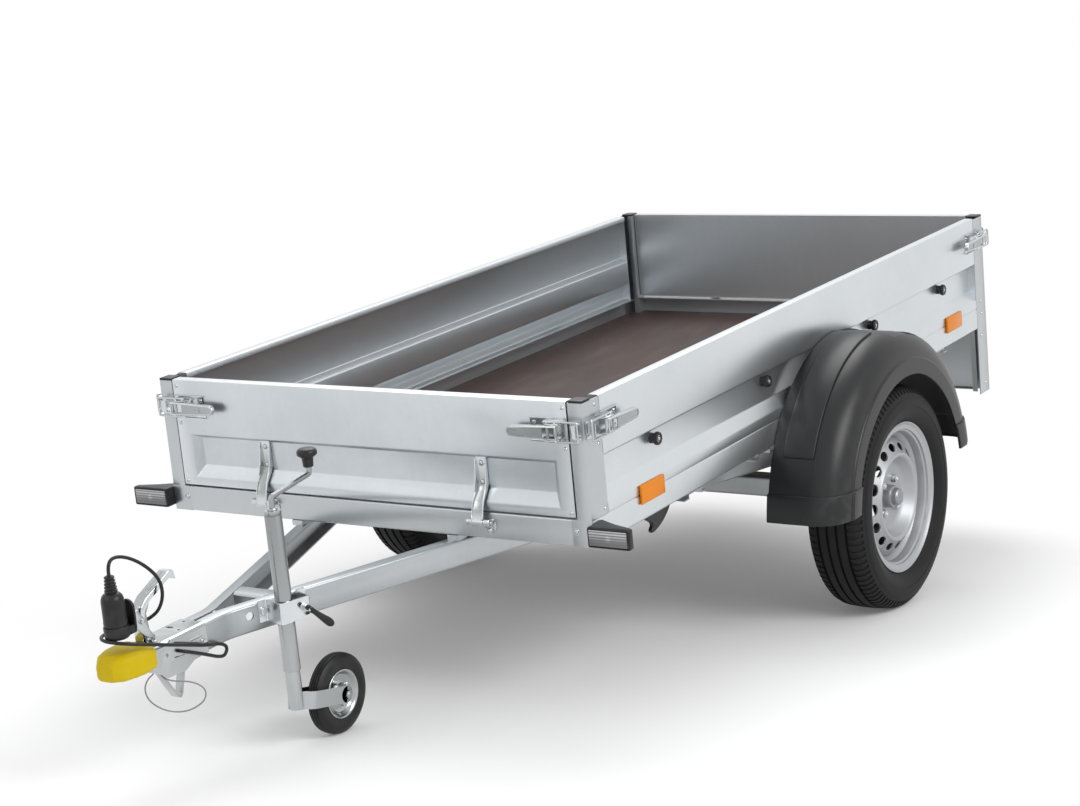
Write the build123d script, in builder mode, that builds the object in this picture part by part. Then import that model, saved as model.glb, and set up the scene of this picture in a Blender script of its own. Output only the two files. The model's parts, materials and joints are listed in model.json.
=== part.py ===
"""Single-axle utility trailer: open box body, folding front gate and tailgate, A-frame drawbar, jockey wheel.

Everything is drawn in the chassis frame, level with the load floor: X to the trailer's left, Y to the rear
from the front face of the body, Z up from the underside of the body rails.  At the end the whole trailer
is set down on its two road wheels and its jockey wheel, nose slightly low, with Z = 0 at the ground.
"""

import os
from math import asin, atan2, cos, degrees, hypot, pi, radians, sin, sqrt, tan

from build123d import *

# ---------------------------------------------------------------- body
BODY_W = 1125.0          # over the outer faces of the side panels
BODY_L = 2105.0          # front face to rear face
RIM_Z = 307.0            # top edge of the panels above the underside of the rails
WALL = 25.0              # depth of a pressed panel, rim included
SHEET = 1.5              # galvanised sheet of the panels
RAIL_H = 58.0            # body rail, outer face
RAIL_FLANGE = 38.0       # its two inward flanges
RAIL_T = 2.5
GATE_GAP = 5.0           # running gap round a folding gate
PANEL_Z = RAIL_H + GATE_GAP
FLOOR_T = 9.0            # plywood

# pressed channel of a panel: heights above the underside of the rails, and its depth
RIB_LOW = 80.0           # top of the flat lower border
RIB_FOOT = 107.0         # end of the slanted ledge
RIB_HEAD = 172.0         # top of the sunk face
RIB_TOP = 182.0          # start of the flat upper face
RIB_DEPTH = 21.0
RIM_DROP = 12.0          # the rim's fold down on the inside
PRESS_END = 34.0         # flat border between a gate's end and its channel
PRESS_RUN = 18.0         # length of the channel's sloping ends

POST_FACE = 34.0         # corner post, face towards front or rear
POST_SIDE = 64.0         # corner post, face towards the side
POST_T = 2.5
POST_DROP = 184.0        # the rear posts reach this far below the rails
POST_CAP_T = 5.0

# ---------------------------------------------------------------- road wheels and axle
AXLE_Y = 1147.0          # wheel centres behind the front face
AXLE_Z = -210.0
TYRE_R = 273.5           # 155/70 R13
TYRE_W = 157.0
RIM_R = 182.5            # over the rim flanges
RIM_FACE_X = BODY_W / 2 + 160.0
RIM_WIDTH = 125.0
BEAD_R = 165.0
BOLT_CIRCLE = 98.0       # 4 wheel bolts
HUB_BORE_R = 29.0
VENTS = 16
VENT_R = 122.0
VENT = (24.0, 17.0)      # longer round the wheel than across
SWING_Y = 147.0          # trailing arms: the beam lies this far ahead of the wheel centres
SWING_Z = 54.0           # and this much higher
BEAM = 50.0              # square axle tube
BEAM_T = 4.0

# ---------------------------------------------------------------- drawbar
ARM_DROP = 12.0          # packing between the rails and the drawbar arms
ARM_H = 58.0
ARM_FLANGE = 28.0
ARM_T = 3.0
ARM_NOSE = 32.0          # half the width over the two arms where they run together
BEND_Y = -529.0          # where the arms bend outwards
ARM_SPREAD = 0.35        # sideways run of an arm for each unit of its length
ARM_TIP_Y = -735.0
ARM_HOLE = 17.0          # round hole through each arm's web, behind the bend
ARM_HOLE_Y = -484.0
ARM_HOLE_Z = -35.0
BRACKET_L = 150.0         # axle brackets, foot plate along the rails
ARM_TAIL_GAP = 20.0
ARM_TAIL_Y = AXLE_Y - SWING_Y - BRACKET_L / 2 - ARM_TAIL_GAP

# ---------------------------------------------------------------- jockey wheel
JOCKEY_X = 100.0
JOCKEY_Y = -438.0
JOCKEY_TUBE_R = 17.5
JOCKEY_TOP_Z = 172.0
JOCKEY_SLEEVE_Z = -158.0  # foot of the outer tube
JOCKEY_FOOT_Z = -222.0    # middle of the fork where it leaves the inner tube
JOCKEY_TRAIL = 130.0      # wheel centre behind the tube
JOCKEY_AXLE_Z = -255.0
JOCKEY_R = 84.5
JOCKEY_TYRE_W = 36.0
JOCKEY_RIM_R = 50.0

# ---------------------------------------------------------------- derived places
HALF_W = BODY_W / 2
POST_IN_X = HALF_W - POST_FACE            # inner face of a corner post
GATE_HALF = POST_IN_X - GATE_GAP          # half the width of a gate
PIN_Y = -12.0                             # gate hinge pins, ahead of the front face
PIN_Z = 39.0
STRAP_X = 290.0
PIECES = {}


def keep(name, *solids):
    """Store one finished node: one solid, or several that don't touch."""
    parts = [solid.part if isinstance(solid, BuildPart) else solid for solid in solids]
    PIECES[name] = parts[0] if len(parts) == 1 else Compound(children=parts)


def both_sides(part):
    """A left-hand piece and its mirror image on the right."""
    return [part, mirror(part, about=Plane.YZ)]


def turned_to_rear(part):
    """The same piece at the diagonally opposite end of the body."""
    return part.moved(Location((0, BODY_L, 0), (0, 0, 180)))


def folded(points, sheet, side=Side.RIGHT):
    """Section of a folded sheet: the line through points, given its thickness on one side."""
    with BuildSketch() as section:
        with BuildLine():
            Polyline(*points)
            offset(amount=sheet, side=side, kind=Kind.INTERSECTION)
        make_face()
    return section.sketch


def arm_x(y):
    """Outer face of the left drawbar arm at a place along the trailer."""
    return ARM_NOSE + max(0.0, y - BEND_Y) * ARM_SPREAD


# ---------------------------------------------------------------- body rails
C_RAIL = [(RAIL_FLANGE, 0), (0, 0), (0, RAIL_H), (RAIL_FLANGE, RAIL_H)]
POST_FOOT_W = 50.0       # the front posts' feet cover the ends of the rails

rail_y0 = POST_T
rail_y1 = BODY_L - POST_SIDE
with BuildPart() as side_rail:
    with BuildSketch(Plane(origin=(HALF_W, rail_y0, 0), x_dir=(-1, 0, 0), z_dir=(0, 1, 0))):
        add(folded(C_RAIL, RAIL_T))
    extrude(amount=rail_y1 - rail_y0)
keep("side_rails", *both_sides(side_rail.part))

with BuildPart() as front_rail:
    with BuildSketch(Plane.YZ):
        add(folded(C_RAIL, RAIL_T))
    extrude(amount=HALF_W - POST_FOOT_W, both=True)
with BuildPart() as rear_rail:
    with BuildSketch(Plane.YZ):
        add(folded(C_RAIL, RAIL_T))
    extrude(amount=POST_IN_X, both=True)
keep("end_rails", front_rail, turned_to_rear(rear_rail.part))

# a curved hook hangs below each side rail, near the front
HOOK_X = HALF_W - 32.0
HOOK_W = 12.0
HOOK_BACK_Y = 372.0
HOOK_LINE = [(0, 0), (-20, -22), (-47, -40), (-82, -52), (-96, -54), (-98, -46), (-90, -38), (-100, -26),
             (-122, -16), (-147, 0)]
with BuildPart() as rail_hook:
    with BuildSketch(Plane.YZ.offset(HOOK_X)):
        with BuildLine():
            Polyline(*[(HOOK_BACK_Y + along, up) for along, up in HOOK_LINE], close=True)
        make_face()
    extrude(amount=HOOK_W / 2, both=True)
keep("rail_hooks", *both_sides(rail_hook.part))

# ---------------------------------------------------------------- floor and its cross members
FLOOR_GAP = 1.5
floor_half = HALF_W - RAIL_T - FLOOR_GAP
with BuildPart() as floor_board:
    with BuildSketch(Plane.XY.offset(RAIL_T)):
        with Locations((0, BODY_L / 2)):
            Rectangle(2 * floor_half, BODY_L - 2 * (RAIL_T + FLOOR_GAP))
        corner = POST_FACE + FLOOR_GAP
        with Locations((HALF_W - corner / 2, BODY_L - corner / 2), (-HALF_W + corner / 2, BODY_L - corner / 2)):
            Rectangle(corner, corner, mode=Mode.SUBTRACT)
    extrude(amount=FLOOR_T)
keep("floor_board", floor_board)

CROSS_T = 2.0
CROSS_TOP = 60.0
CROSS_BRIM = 18.0
CROSS_Y = (430.0, 760.0, BODY_L - 675.0, BODY_L - 325.0)
cross_members = []
for cross_y in CROSS_Y:
    with BuildPart() as cross:
        with BuildSketch(Plane.YZ):
            half = CROSS_TOP / 2
            brim_z = CROSS_T - ARM_DROP
            add(folded([(-half - CROSS_BRIM, brim_z), (-half, brim_z), (-half, 0),
                        (half, 0), (half, brim_z), (half + CROSS_BRIM, brim_z)], CROSS_T))
        extrude(amount=HALF_W - RAIL_T, both=True)
    cross_members.append(cross.part.moved(Location((0, cross_y, 0))))
keep("cross_members", *cross_members)

# ---------------------------------------------------------------- side panels
PANEL_LINE = [(WALL, RAIL_H), (0, RAIL_H), (0, RIB_LOW), (RIB_DEPTH, RIB_FOOT), (RIB_DEPTH, RIB_HEAD),
              (0, RIB_TOP), (0, RIM_Z), (WALL, RIM_Z), (WALL, RIM_Z - RIM_DROP)]
PANEL_LAP = 28.0         # the panel's flat ends lap inside the posts
with BuildPart() as side_panel:
    with BuildSketch(Plane(origin=(HALF_W, POST_SIDE, 0), x_dir=(-1, 0, 0), z_dir=(0, 1, 0))):
        add(folded(PANEL_LINE, SHEET))
    extrude(amount=BODY_L - 2 * POST_SIDE)
    for lap_y in (POST_SIDE - PANEL_LAP / 2, BODY_L - POST_SIDE + PANEL_LAP / 2):
        with Locations((HALF_W - POST_T - SHEET / 2, lap_y, (RAIL_H + RIM_Z) / 2)):
            Box(SHEET, PANEL_LAP, RIM_Z - RAIL_H)
    for end_y in (POST_SIDE + SHEET / 2, BODY_L - POST_SIDE - SHEET / 2):
        with Locations((HALF_W - WALL / 2, end_y, (RAIL_H + RIM_Z) / 2)):
            Box(WALL, SHEET, RIM_Z - RAIL_H)
left_panel, right_panel = both_sides(side_panel.part)
keep("side_panel_left", left_panel)
keep("side_panel_right", right_panel)

# ---------------------------------------------------------------- corner posts
POST_LIP = 14.0
POST_TOP = RIM_Z - 3.0
post_line = [(0, POST_SIDE), (0, 0), (POST_FACE, 0), (POST_FACE, POST_FACE), (POST_FACE - POST_LIP, POST_FACE)]


def corner_post(foot_z):
    """Folded corner post at the front left, in plan: side plate, face, inner face and lip."""
    with BuildPart() as post:
        with BuildSketch(Plane(origin=(HALF_W, 0, foot_z), x_dir=(-1, 0, 0), z_dir=(0, 0, -1))):
            add(folded(post_line, POST_T, Side.RIGHT))
        extrude(amount=foot_z - POST_TOP)
    return post.part


with BuildPart() as front_post:
    add(corner_post(RAIL_H))
    with BuildSketch(Plane.XZ):
        with Locations((HALF_W - POST_FOOT_W / 2, RAIL_H / 2)):
            Rectangle(POST_FOOT_W, RAIL_H)
    extrude(amount=-POST_T)
keep("front_posts", *both_sides(front_post.part))
rear_post = turned_to_rear(corner_post(-POST_DROP))
keep("rear_posts", *both_sides(rear_post))

with BuildPart() as post_cap:
    with BuildSketch(Plane.XY.offset(POST_TOP)):
        with Locations((HALF_W - POST_FACE / 2, POST_FACE / 2)):
            RectangleRounded(POST_FACE, POST_FACE, 3)
    extrude(amount=POST_CAP_T)
caps = both_sides(post_cap.part)
keep("post_caps", *caps, *[turned_to_rear(cap) for cap in caps])

# ---------------------------------------------------------------- gates
GATE_LINE = [(WALL, PANEL_Z), (0, PANEL_Z), (0, RIM_Z), (WALL, RIM_Z)]
press_half = GATE_HALF - PRESS_END


def channel_block(grow):
    """Tapered block that fills a gate's channel; grown, it is the sheet round the channel with it."""
    with BuildPart() as block:
        for depth, half, low, high in ((0, press_half, RIB_LOW, RIB_TOP),
                                       (RIB_DEPTH + grow, press_half - PRESS_RUN, RIB_FOOT, RIB_HEAD)):
            with BuildSketch(Plane.XZ.offset(-depth)):
                with Locations((0, (low + high) / 2)):
                    Rectangle(2 * (half + grow), high - low + 2 * grow)
        loft(ruled=True)
    return block.part


with BuildPart() as gate:
    with BuildSketch(Plane.YZ):
        add(folded(GATE_LINE, SHEET))
    extrude(amount=GATE_HALF, both=True)
    add(channel_block(SHEET))
    add(channel_block(0), mode=Mode.SUBTRACT)
    for side in (-1, 1):
        with Locations((side * (GATE_HALF - SHEET / 2), WALL / 2, (PANEL_Z + RIM_Z) / 2)):
            Box(SHEET, WALL, RIM_Z - PANEL_Z)
    with Locations((0, WALL - SHEET / 2, (PANEL_Z + RIM_Z) / 2)):
        Box(2 * GATE_HALF, SHEET, RIM_Z - PANEL_Z)
keep("front_gate", gate)
keep("tailgate", turned_to_rear(gate.part))

# gate hinges: a pressed strap on the gate, its pin, and a knuckle with a round plate on the rail
STRAP_W = 28.0
STRAP_T = 3.0
STRAP_TOP = 170.0
PIN_R = 4.0
KNUCKLE_R = 8.5
PIN_FIT = 0.05
KNUCKLE_W = 15.0
HINGE_GAP = 0.5
strap_back = [(RIB_DEPTH, STRAP_TOP), (RIB_DEPTH, RIB_FOOT + 4), (-1, RIB_LOW), (-1, PIN_Z + 22),
              (-8, PIN_Z + 6)]
strap_front = [(PIN_Y - 4, PIN_Z + 6), (PIN_Y - 2, RIB_LOW), (2, RIB_FOOT + 10), (RIB_DEPTH - 9, STRAP_TOP)]
with BuildPart() as strap:
    for wall_x in (-STRAP_W / 2, STRAP_W / 2 - STRAP_T):
        with BuildSketch(Plane.YZ.offset(wall_x)):
            with BuildLine():
                Polyline(*strap_back, *strap_front, close=True)
            make_face()
        extrude(amount=STRAP_T)
    with BuildSketch(Plane.YZ.offset(-STRAP_W / 2)):
        add(folded(strap_back, STRAP_T, Side.RIGHT))
    extrude(amount=STRAP_W)
    with BuildSketch(Plane.YZ.offset(-STRAP_W / 2)):
        with Locations((PIN_Y, PIN_Z)):
            Circle(KNUCKLE_R)
    extrude(amount=STRAP_W)
    with BuildSketch(Plane.YZ.offset(-STRAP_W / 2)):
        with Locations((PIN_Y, PIN_Z)):
            Circle(PIN_R + PIN_FIT)
    extrude(amount=STRAP_W, mode=Mode.SUBTRACT)
front_straps = [strap.part.moved(Location((x, 0, 0))) for x in (-STRAP_X, STRAP_X)]
keep("front_gate_straps", *front_straps)
keep("tailgate_straps", *[turned_to_rear(one) for one in front_straps])

PIN_LENGTH = STRAP_W + 2 * (KNUCKLE_W + HINGE_GAP) + 8
PLATE_R = 15.0
with BuildPart() as hinge_foot:
    for side in (-1, 1):
        with BuildSketch(Plane.YZ.offset(side * (STRAP_W / 2 + HINGE_GAP))):
            with Locations((PIN_Y, PIN_Z)):
                Circle(KNUCKLE_R)
            with Locations((PIN_Y / 2, PIN_Z)):
                Rectangle(-PIN_Y, 2 * KNUCKLE_R - 4)
        extrude(amount=side * KNUCKLE_W)
    with BuildSketch(Plane.YZ.offset(-PIN_LENGTH / 2)):
        with Locations((PIN_Y, PIN_Z)):
            Circle(PIN_R)
    extrude(amount=PIN_LENGTH)
    with BuildSketch(Plane.XZ):
        with Locations((0, PIN_Z - 4)):
            Rectangle(PIN_LENGTH - 6, 22)
        with Locations((22, PIN_Z - 10)):
            Circle(PLATE_R)
    extrude(amount=2.5)
front_feet = [hinge_foot.part.moved(Location((x, 0, 0))) for x in (-STRAP_X, STRAP_X)]
keep("hinge_feet", *front_feet, *[turned_to_rear(one) for one in front_feet])

# over-centre latches: a base plate with two cheeks, a tapered channel lever and a wire bail over the post's tab
LATCH_Z = 232.0
LATCH_BASE = (78.0, 44.0, 3.0)
BASE_LIP = 2.0           # the base plate's long edges are folded forwards
CHEEK = (40.0, 11.0, 3.0)
CHEEK_AT = 24.0
LEVER_LONG = 112.0
LEVER_ROOT = 26.0
LEVER_TIP = 17.0
LEVER_T = 2.0
LEVER_FACE_Y = -15.0
LEVER_SIDE = 6.0
LEVER_START = 6.0
WINDOWS = (12.0, 28.0)   # middles of the two windows in the lever's root
WINDOW = (9.0, 16.0)
BAIL_R = 2.0
BAIL_Y = -8.0
BAIL_HALF = 17.0
BAIL_REACH = 22.0
BAIL_TAIL = 18.0
BAIL_BEND = 5.0
TAB = (3.0, 11.0, 20.0)
latch_x = POST_IN_X - 4.0        # outboard end of the latch base on a gate


def latch(end_x):
    """Latch on the front face, lever inboard; end_x is the outboard end of its base."""
    base_x = end_x - GATE_GAP
    root_x = base_x - LEVER_START
    tip_x = root_x - LEVER_LONG
    with BuildPart() as toggle:
        with Locations((base_x - LATCH_BASE[0] / 2, -LATCH_BASE[2] / 2, LATCH_Z)):
            Box(LATCH_BASE[0], LATCH_BASE[2], LATCH_BASE[1])
        for side in (-1, 1):
            with Locations((base_x - LATCH_BASE[0] / 2, -LATCH_BASE[2] - BASE_LIP / 2,
                            LATCH_Z + side * (LATCH_BASE[1] - LATCH_BASE[2]) / 2)):
                Box(LATCH_BASE[0] - 2 * LATCH_BASE[2], BASE_LIP, LATCH_BASE[2])
            with Locations((base_x - CHEEK_AT, -LATCH_BASE[2] - CHEEK[1] / 2,
                            LATCH_Z + side * (LEVER_ROOT + CHEEK[2] - 1) / 2)):
                Box(*CHEEK)
        for depth, mode in ((0, Mode.ADD), (LEVER_T, Mode.SUBTRACT)):
            with BuildSketch(Plane.XZ.offset(-LEVER_FACE_Y - depth)):
                with BuildLine():
                    root_half = LEVER_ROOT / 2 - depth
                    tip_half = LEVER_TIP / 2 - depth
                    Line((root_x, -root_half + LATCH_Z), (root_x, root_half + LATCH_Z))
                    Line((root_x, root_half + LATCH_Z), (tip_x + LEVER_TIP / 2, tip_half + LATCH_Z))
                    ThreePointArc((tip_x + LEVER_TIP / 2, tip_half + LATCH_Z), (tip_x + depth, LATCH_Z),
                                  (tip_x + LEVER_TIP / 2, -tip_half + LATCH_Z))
                    Line((tip_x + LEVER_TIP / 2, -tip_half + LATCH_Z), (root_x, -root_half + LATCH_Z))
                make_face()
            extrude(amount=-LEVER_SIDE, mode=mode)
        for window_x in WINDOWS:
            with Locations((root_x - window_x, LEVER_FACE_Y + LEVER_T / 2, LATCH_Z)):
                Box(WINDOW[0], LEVER_T, WINDOW[1], mode=Mode.SUBTRACT)
        foot = (end_x - BAIL_TAIL, BAIL_Y, LATCH_Z - BAIL_HALF)
        with BuildLine():
            FilletPolyline(foot, (end_x + BAIL_REACH, BAIL_Y, LATCH_Z - BAIL_HALF),
                           (end_x + BAIL_REACH, BAIL_Y, LATCH_Z + BAIL_HALF),
                           (end_x - BAIL_TAIL, BAIL_Y, LATCH_Z + BAIL_HALF), radius=BAIL_BEND)
        with BuildSketch(Plane(origin=foot, z_dir=(1, 0, 0))):
            Circle(BAIL_R)
        sweep()
    return toggle.part


gate_latch = latch(latch_x)
gate_latches = both_sides(gate_latch)
keep("front_gate_latches", *gate_latches)
keep("tailgate_latches", *[turned_to_rear(one) for one in gate_latches])
# the side panels carry the same latch, turned round the corner
SIDE_LATCH_Y = 30.0
side_turn = Plane(origin=(HALF_W, HALF_W, 0), x_dir=(0, -1, 0), z_dir=(0, 0, 1)).location
side_latch = mirror(latch(HALF_W - SIDE_LATCH_Y), about=Plane.XZ).moved(side_turn)
side_latches = both_sides(side_latch)
keep("side_latches", *side_latches, *[turned_to_rear(one) for one in side_latches])

tab_step = BAIL_REACH - BAIL_R - TAB[0] / 2 - 0.5     # the tab stands just inside the bail's end
with BuildPart() as gate_tab:
    with Locations((latch_x + tab_step, -TAB[1] / 2, LATCH_Z)):
        Box(*TAB)
with BuildPart() as side_tab:
    with Locations((HALF_W + TAB[1] / 2, SIDE_LATCH_Y - tab_step, LATCH_Z)):
        Box(TAB[1], TAB[0], TAB[2])
tabs = both_sides(gate_tab.part) + both_sides(side_tab.part)
keep("latch_tabs", *tabs, *[turned_to_rear(one) for one in tabs])

# ---------------------------------------------------------------- drawbar
arm_line = [(ARM_NOSE, ARM_TIP_Y), (ARM_NOSE, BEND_Y), (arm_x(ARM_TAIL_Y), ARM_TAIL_Y)]
arm_layers = ((0, ARM_T, ARM_H), (0, ARM_FLANGE, ARM_T), (ARM_H - ARM_T, ARM_FLANGE, ARM_T))
with BuildPart() as arm:
    for base_z, width, height in arm_layers:
        with BuildSketch(Plane.XY.offset(base_z - ARM_DROP - ARM_H)):
            add(folded(arm_line, width, Side.LEFT))
        extrude(amount=height)
    with Locations((arm_x(ARM_HOLE_Y), ARM_HOLE_Y, ARM_HOLE_Z)):
        Cylinder(ARM_HOLE / 2, 4 * ARM_T, rotation=(0, 90, 0), mode=Mode.SUBTRACT)
left_arm, right_arm = both_sides(arm.part)
keep("drawbar_left", left_arm)
keep("drawbar_right", right_arm)

BRACE_Y0 = -431.0
BRACE_Y1 = -385.0
BRACE_SKIRT = 26.0
lean = sqrt(1 + ARM_SPREAD ** 2)
inner = [arm_x(y) - ARM_FLANGE * lean for y in (BRACE_Y0, BRACE_Y1)]
with BuildPart() as brace:
    with BuildSketch(Plane.XY.offset(-ARM_DROP)):
        with BuildLine():
            Polyline((-inner[0], BRACE_Y0), (inner[0], BRACE_Y0), (inner[1], BRACE_Y1), (-inner[1], BRACE_Y1),
                     close=True)
        make_face()
    extrude(amount=-ARM_T)
    for edge_y, half in ((BRACE_Y0 + ARM_T / 2, inner[0]), (BRACE_Y1 - ARM_T / 2, inner[1])):
        with Locations((0, edge_y, -ARM_DROP - BRACE_SKIRT / 2)):
            Box(2 * half - 2 * ARM_T, ARM_T, BRACE_SKIRT)
keep("drawbar_brace", brace)

PAD_L = 46.0
with BuildPart() as front_pad:
    pad_y = RAIL_FLANGE / 2
    with Locations((arm_x(pad_y) - ARM_FLANGE / 2, pad_y, -ARM_DROP / 2)):
        Box(ARM_FLANGE, RAIL_FLANGE, ARM_DROP)
with BuildPart() as rear_pad:
    pad_y = ARM_TAIL_Y - PAD_L / 2
    with Locations((arm_x(pad_y) - ARM_FLANGE / 2 + 7, pad_y, -ARM_DROP / 2)):
        Box(ARM_FLANGE + 14, PAD_L, ARM_DROP)
keep("drawbar_pads", *both_sides(front_pad.part), *both_sides(rear_pad.part))

# ---------------------------------------------------------------- coupling
COUPLING_T = 4.0
COUPLING_TAIL_Y = -600.0
BALL_Y = -815.0
BALL_Z = -40.0
BALL_R = 25.0
HEAD_R = 32.0
NECK_H = 54.0
SOCKET_LIP = 2.0
SOCKET_FIT = 0.3
arm_top = -ARM_DROP
arm_foot = -ARM_DROP - ARM_H
coupling_half = ARM_NOSE + COUPLING_T
coupling_top = arm_top + COUPLING_T
with BuildPart() as coupling:
    with BuildSketch(Plane.XZ.offset(-COUPLING_TAIL_Y)):
        add(folded([(-ARM_NOSE, arm_foot), (-ARM_NOSE, arm_top), (ARM_NOSE, arm_top), (ARM_NOSE, arm_foot)],
                   COUPLING_T, Side.LEFT))
    extrude(amount=COUPLING_TAIL_Y - ARM_TIP_Y)
    with BuildSketch(Plane.XZ.offset(-ARM_TIP_Y)):
        with Locations((0, (arm_top + arm_foot) / 2 + COUPLING_T / 2)):
            Rectangle(2 * coupling_half, ARM_H + COUPLING_T)
    with BuildSketch(Plane.XZ.offset(-BALL_Y - 18)):
        with Locations((0, BALL_Z + HEAD_R - NECK_H / 2)):
            RectangleRounded(2 * HEAD_R - 6, NECK_H, 16)
    loft()
    with Locations((0, BALL_Y, BALL_Z)):
        Sphere(HEAD_R)
    with Locations((0, BALL_Y, BALL_Z - HEAD_R - SOCKET_LIP)):
        Box(3 * HEAD_R, 2 * HEAD_R + 2, 2 * HEAD_R, mode=Mode.SUBTRACT)
    with Locations((0, BALL_Y, BALL_Z)):
        Sphere(BALL_R + SOCKET_FIT, mode=Mode.SUBTRACT)
keep("coupling_body", coupling)

HANDLE_W = 26.0
HANDLE_FOOT_Y = -752.0
# side view from the foot's front corner: along the foot, up the lever's underside, round its hooked tip and back
HANDLE_LINE = [
    (0, 0), (28, 0), (24, 28), (20, 58), (32, 76), (96, 106), (102, 95), (110, 98), (105, 121), (92, 121),
    (22, 90), (4, 74), (0, 36)]
with BuildPart() as handle:
    with BuildSketch(Plane.YZ):
        with BuildLine():
            Polyline(*[(HANDLE_FOOT_Y + along, coupling_top + up) for along, up in HANDLE_LINE], close=True)
        make_face()
    extrude(amount=HANDLE_W / 2, both=True)
keep("coupling_handle", handle)

CAP_GAP = 0.5
CAP_TAIL_Y = -752.0
CAP_SECTIONS = (  # place along the trailer, half width, lowest and highest point
    (CAP_TAIL_Y, 44, -70, -2), (-790, 46, -76, 2), (-832, 44, -76, 1), (-862, 26, -68, -16))
cap_bore = coupling_half + CAP_GAP
cap_roof = BALL_Z + HEAD_R + CAP_GAP
with BuildPart() as cap:
    for station_y, half_w, low_z, high_z in CAP_SECTIONS:
        with BuildSketch(Plane.XZ.offset(-station_y)):
            with Locations((0, (low_z + high_z) / 2)):
                RectangleRounded(2 * half_w, high_z - low_z, 12)
    loft(ruled=True)
    with BuildSketch(Plane.XY.offset(cap_roof)):
        with Locations((0, BALL_Y + 40)):
            Rectangle(2 * cap_bore, 80)
        with Locations((0, BALL_Y)):
            Circle(cap_bore)
    extrude(amount=-100, mode=Mode.SUBTRACT)
keep("coupling_cap", cap)

STIRRUP_T = 4.0
STIRRUP_FRONT_Y = -716.0
STIRRUP_REAR_Y = -640.0
STIRRUP_LOW_Y = -668.0   # its lowest corner
STIRRUP_LOW_Z = -144.0
STIRRUP_W = 18.0
with BuildPart() as stirrup:
    with BuildSketch(Plane.YZ):
        add(folded([(STIRRUP_FRONT_Y, arm_foot), (STIRRUP_LOW_Y, STIRRUP_LOW_Z), (STIRRUP_REAR_Y, arm_foot)],
                   STIRRUP_T, Side.LEFT))
    extrude(amount=STIRRUP_W / 2, both=True)
    with Locations((0, STIRRUP_LOW_Y, arm_foot)):
        Box(2 * STIRRUP_W, 2 * (STIRRUP_REAR_Y - STIRRUP_FRONT_Y), ARM_H, mode=Mode.SUBTRACT,
            align=(Align.CENTER, Align.CENTER, Align.MIN))
keep("stirrup", stirrup)

# parked plug in its holder, and the two free cords
PLUG_Y = -806.0
PLUG_R = 23.0
PLUG_FOOT_Z = 24.0
PLUG_NECK_Z = 84.0
PLUG_TOP_Z = 149.0
CABLE_D = 7.0
with BuildPart() as plug:
    with BuildSketch(Plane.XZ.offset(-PLUG_Y)):
        with BuildLine():
            Polyline((0, PLUG_FOOT_Z), (PLUG_R, PLUG_FOOT_Z), (PLUG_R, PLUG_NECK_Z - 8),
                     (PLUG_R - 5, PLUG_NECK_Z), (14, PLUG_NECK_Z + 10), (12, PLUG_NECK_Z + 14),
                     (7, PLUG_TOP_Z), (0, PLUG_TOP_Z), close=True)
        make_face()
    revolve(axis=Axis((0, PLUG_Y, 0), (0, 0, 1)))
keep("plug", plug)

HOLDER_T = 3.0
HOLDER_R = PLUG_R + 3
HOLDER_FOOT_Z = 2.5
HOLDER_PLATE = 6.0
EAR = (80.0, 34.0)       # rounded plate standing behind the holder's cup
EAR_X = 6.0
EAR_Z = 54.0
holder_back = PLUG_Y + HOLDER_R + HOLDER_PLATE - 2
with BuildPart() as holder:
    with BuildSketch(Plane.XY.offset(HOLDER_FOOT_Z)):
        with Locations((0, PLUG_Y)):
            Circle(HOLDER_R)
    extrude(amount=PLUG_FOOT_Z - HOLDER_FOOT_Z)
    with BuildSketch(Plane.XZ.offset(-holder_back)):
        with Locations((EAR_X, EAR_Z)):
            SlotOverall(*EAR, rotation=90)
    extrude(amount=HOLDER_PLATE)
keep("plug_holder", holder)

BRACKET_SIDE = 16.0
BRACKET_LEG = (-748.0, -726.0)   # its foot lies on the coupling between these places
BRACKET_LINE = [(-726, -8), (-748, -8), (-748, 8), (holder_back, 34), (holder_back, 68), (-762, 68), (-738, 22),
                (-726, 4)]
BRACKET_FLANGE = 16.0
with BuildPart() as holder_bracket:
    with BuildSketch(Plane.YZ.offset(BRACKET_SIDE)):
        with BuildLine():
            Polyline(*BRACKET_LINE, close=True)
        make_face()
    extrude(amount=HOLDER_T)
    with Locations((BRACKET_SIDE + BRACKET_FLANGE / 2, sum(BRACKET_LEG) / 2, coupling_top + HOLDER_T / 2)):
        Box(BRACKET_FLANGE, BRACKET_LEG[1] - BRACKET_LEG[0], HOLDER_T)
keep("holder_bracket", holder_bracket)

CABLE_ROUTE = [
    (coupling_half, -686, -38), (46, -686, -38), (51, -670, -45), (51, -646, -56), (48, -616, -70), (46, -590, -83),
    (45, -568, -89), (44, -556, -74), (45, -576, -60), (49, -622, -48), (52, -670, -30), (53, -722, -10),
    (51, -772, 12), (44, -812, 27), (22, -838, 36), (-8, -843, 38), (-34, -824, 37), (-44, -784, 34),
    (-40, -742, 28), (-26, -714, 24), (-4, -704, 32), (16, -700, 50), (24, -694, 78), (21, -696, 110), (10, -718, 142),
    (2, -752, 168), (0, -788, 180), (0, -806, 169), (0, PLUG_Y, PLUG_TOP_Z)]
SAFETY_ROUTE = [
    (22, -728, arm_foot), (22, -728, -80), (32, -706, -94), (42, -664, -108), (46, -634, -134), (36, -632, -162),
    (10, -654, -178), (-16, -682, -172), (-36, -708, -146), (-38, -718, -116), (-26, -716, -92), (-13, -708, -82),
    (-13, -708, arm_foot)]
SAFETY_D = 3.0


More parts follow.
